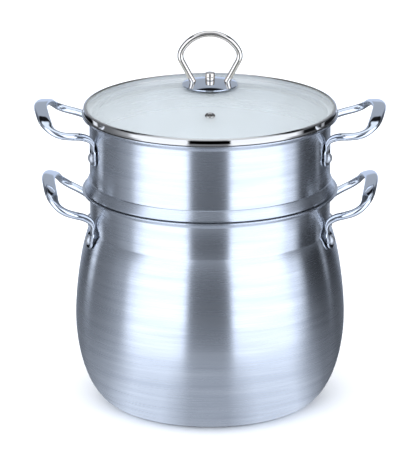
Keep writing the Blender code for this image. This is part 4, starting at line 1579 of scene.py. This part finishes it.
    def tent_light(self, tree: bpy.types.NodeTree) -> bpy.types.NodeSocket:
        """Give the tent's colour at each place on it.

        Args:
            tree: The cloth's tree.

        Returns:
            The colour, with its brightness in it.
        """
        place = add_node(tree, "ShaderNodeTexCoord").outputs["Object"]
        apart = add_node(tree, "ShaderNodeSeparateXYZ", {0: place})
        behind, height = apart.outputs[1], apart.outputs[2]
        flat = result(tree, "ShaderNodeCombineXYZ", apart.outputs[0], behind)
        radius = add_node(tree, "ShaderNodeVectorMath", {0: flat},
                          operation="LENGTH").outputs["Value"]
        run = result(tree, MATH, radius, height, operation="ADD")
        share = self.heading(tree, place)
        colour, cards, near = (
            self.ramp(tree, share, stops)
            for stops in (self.box_stops, self.card_stops, self.near_stops)
        )
        close = result(tree, "ShaderNodeMapRange", radius, *self.near_fade, 1.0, 0.0)
        far = result(tree, "ShaderNodeMapRange", behind, *self.back_fade, 0.0, 1.0)
        low = result(tree, "ShaderNodeMapRange", height, *self.back_height, 1.0, 0.0)
        back = result(tree, MATH, far, low, operation="MULTIPLY")
        above = result(tree, "ShaderNodeMapRange", height, *self.ceiling_height, 0.0, 1.0)
        for part, layer in (
            (close, near),
            (self.band(tree, run, self.card_run, self.card_half), cards),
            (back, self.back_colour),
            (self.band(tree, height, self.gap_height, self.gap_half), self.gap_colour),
            (above, self.ceiling_colour),
        ):
            colour = add_node(tree, "ShaderNodeMix", {0: part, 6: colour, 7: layer},
                              data_type="RGBA").outputs[2]
        return colour

    def tent(self, shop: Workshop) -> None:
        """Hang a light tent that only the reflections see."""
        mat = bpy.data.materials.new("tent_cloth")
        mat.use_nodes = True
        tree = mat.node_tree
        tree.nodes.clear()
        glow = result(tree, "ShaderNodeEmission", self.tent_light(tree), 1.0)
        clear = result(tree, "ShaderNodeBsdfTransparent")
        bounces = add_node(tree, "ShaderNodeLightPath").outputs["Glossy Depth"]
        mirrored = result(tree, MATH, bounces, 0.5, operation="GREATER_THAN")
        seen = result(tree, "ShaderNodeMixShader", mirrored, clear, glow)
        add_node(tree, "ShaderNodeOutputMaterial", {0: seen})
        radius = self.tent_radius
        line = [(self.tent_mouth, self.floor_drop), (radius, self.floor_drop),
                (radius, self.tent_height), (0.8 * radius, 1.9), (0.45 * radius, 2.2),
                (0.0, self.tent_top)]
        mesh = shop.turning.run(line_mesh(line), {"Segments": 96, "Weld": WELD, "Finish": mat})
        tent = bpy.data.objects.new("tent", mesh)
        tent.visible_camera = False
        tent.visible_diffuse = False
        bpy.context.scene.collection.objects.link(tent)

    def lamps(self) -> None:
        """Add a broad, even light from above that the metal doesn't mirror."""
        data = bpy.data.lights.new("sky_panel", "SUN")
        data.energy = self.sky_power
        data.angle = self.sky_angle
        lamp = bpy.data.objects.new("sky_panel", data)
        lamp.rotation_euler = self.sky_turn
        lamp.visible_glossy = False
        lamp.visible_transmission = False
        bpy.context.scene.collection.objects.link(lamp)

    def world(self) -> None:
        """Surround the scene with soft light that changes round the axis, as the tent's."""
        world = bpy.data.worlds.new("studio")
        world.use_nodes = True
        tree = world.node_tree
        place = add_node(tree, "ShaderNodeTexCoord").outputs["Generated"]
        ramp = self.ramp(tree, self.heading(tree, place), self.near_stops)
        tree.links.new(ramp, tree.nodes["Background"].inputs["Color"])
        bpy.context.scene.world = world
        bpy.context.scene.view_settings.view_transform = "Standard"

    def build(self, shop: Workshop) -> None:
        """Set the whole studio."""
        self.camera()
        self.world()
        self.floor()
        self.tent(shop)
        self.lamps()


def main() -> None:
    """Build every sub-assembly over the frame."""
    logging.basicConfig(level=logging.INFO, format="%(name)s: %(message)s")
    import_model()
    shop = Workshop()
    studio = Studio()
    studio.build(shop)
    Pot(Tier.POT).build(shop)
    Steamer(Tier.STEAMER).build(shop)
    Lid().build(shop)


if __name__ == "__main__":
    main()
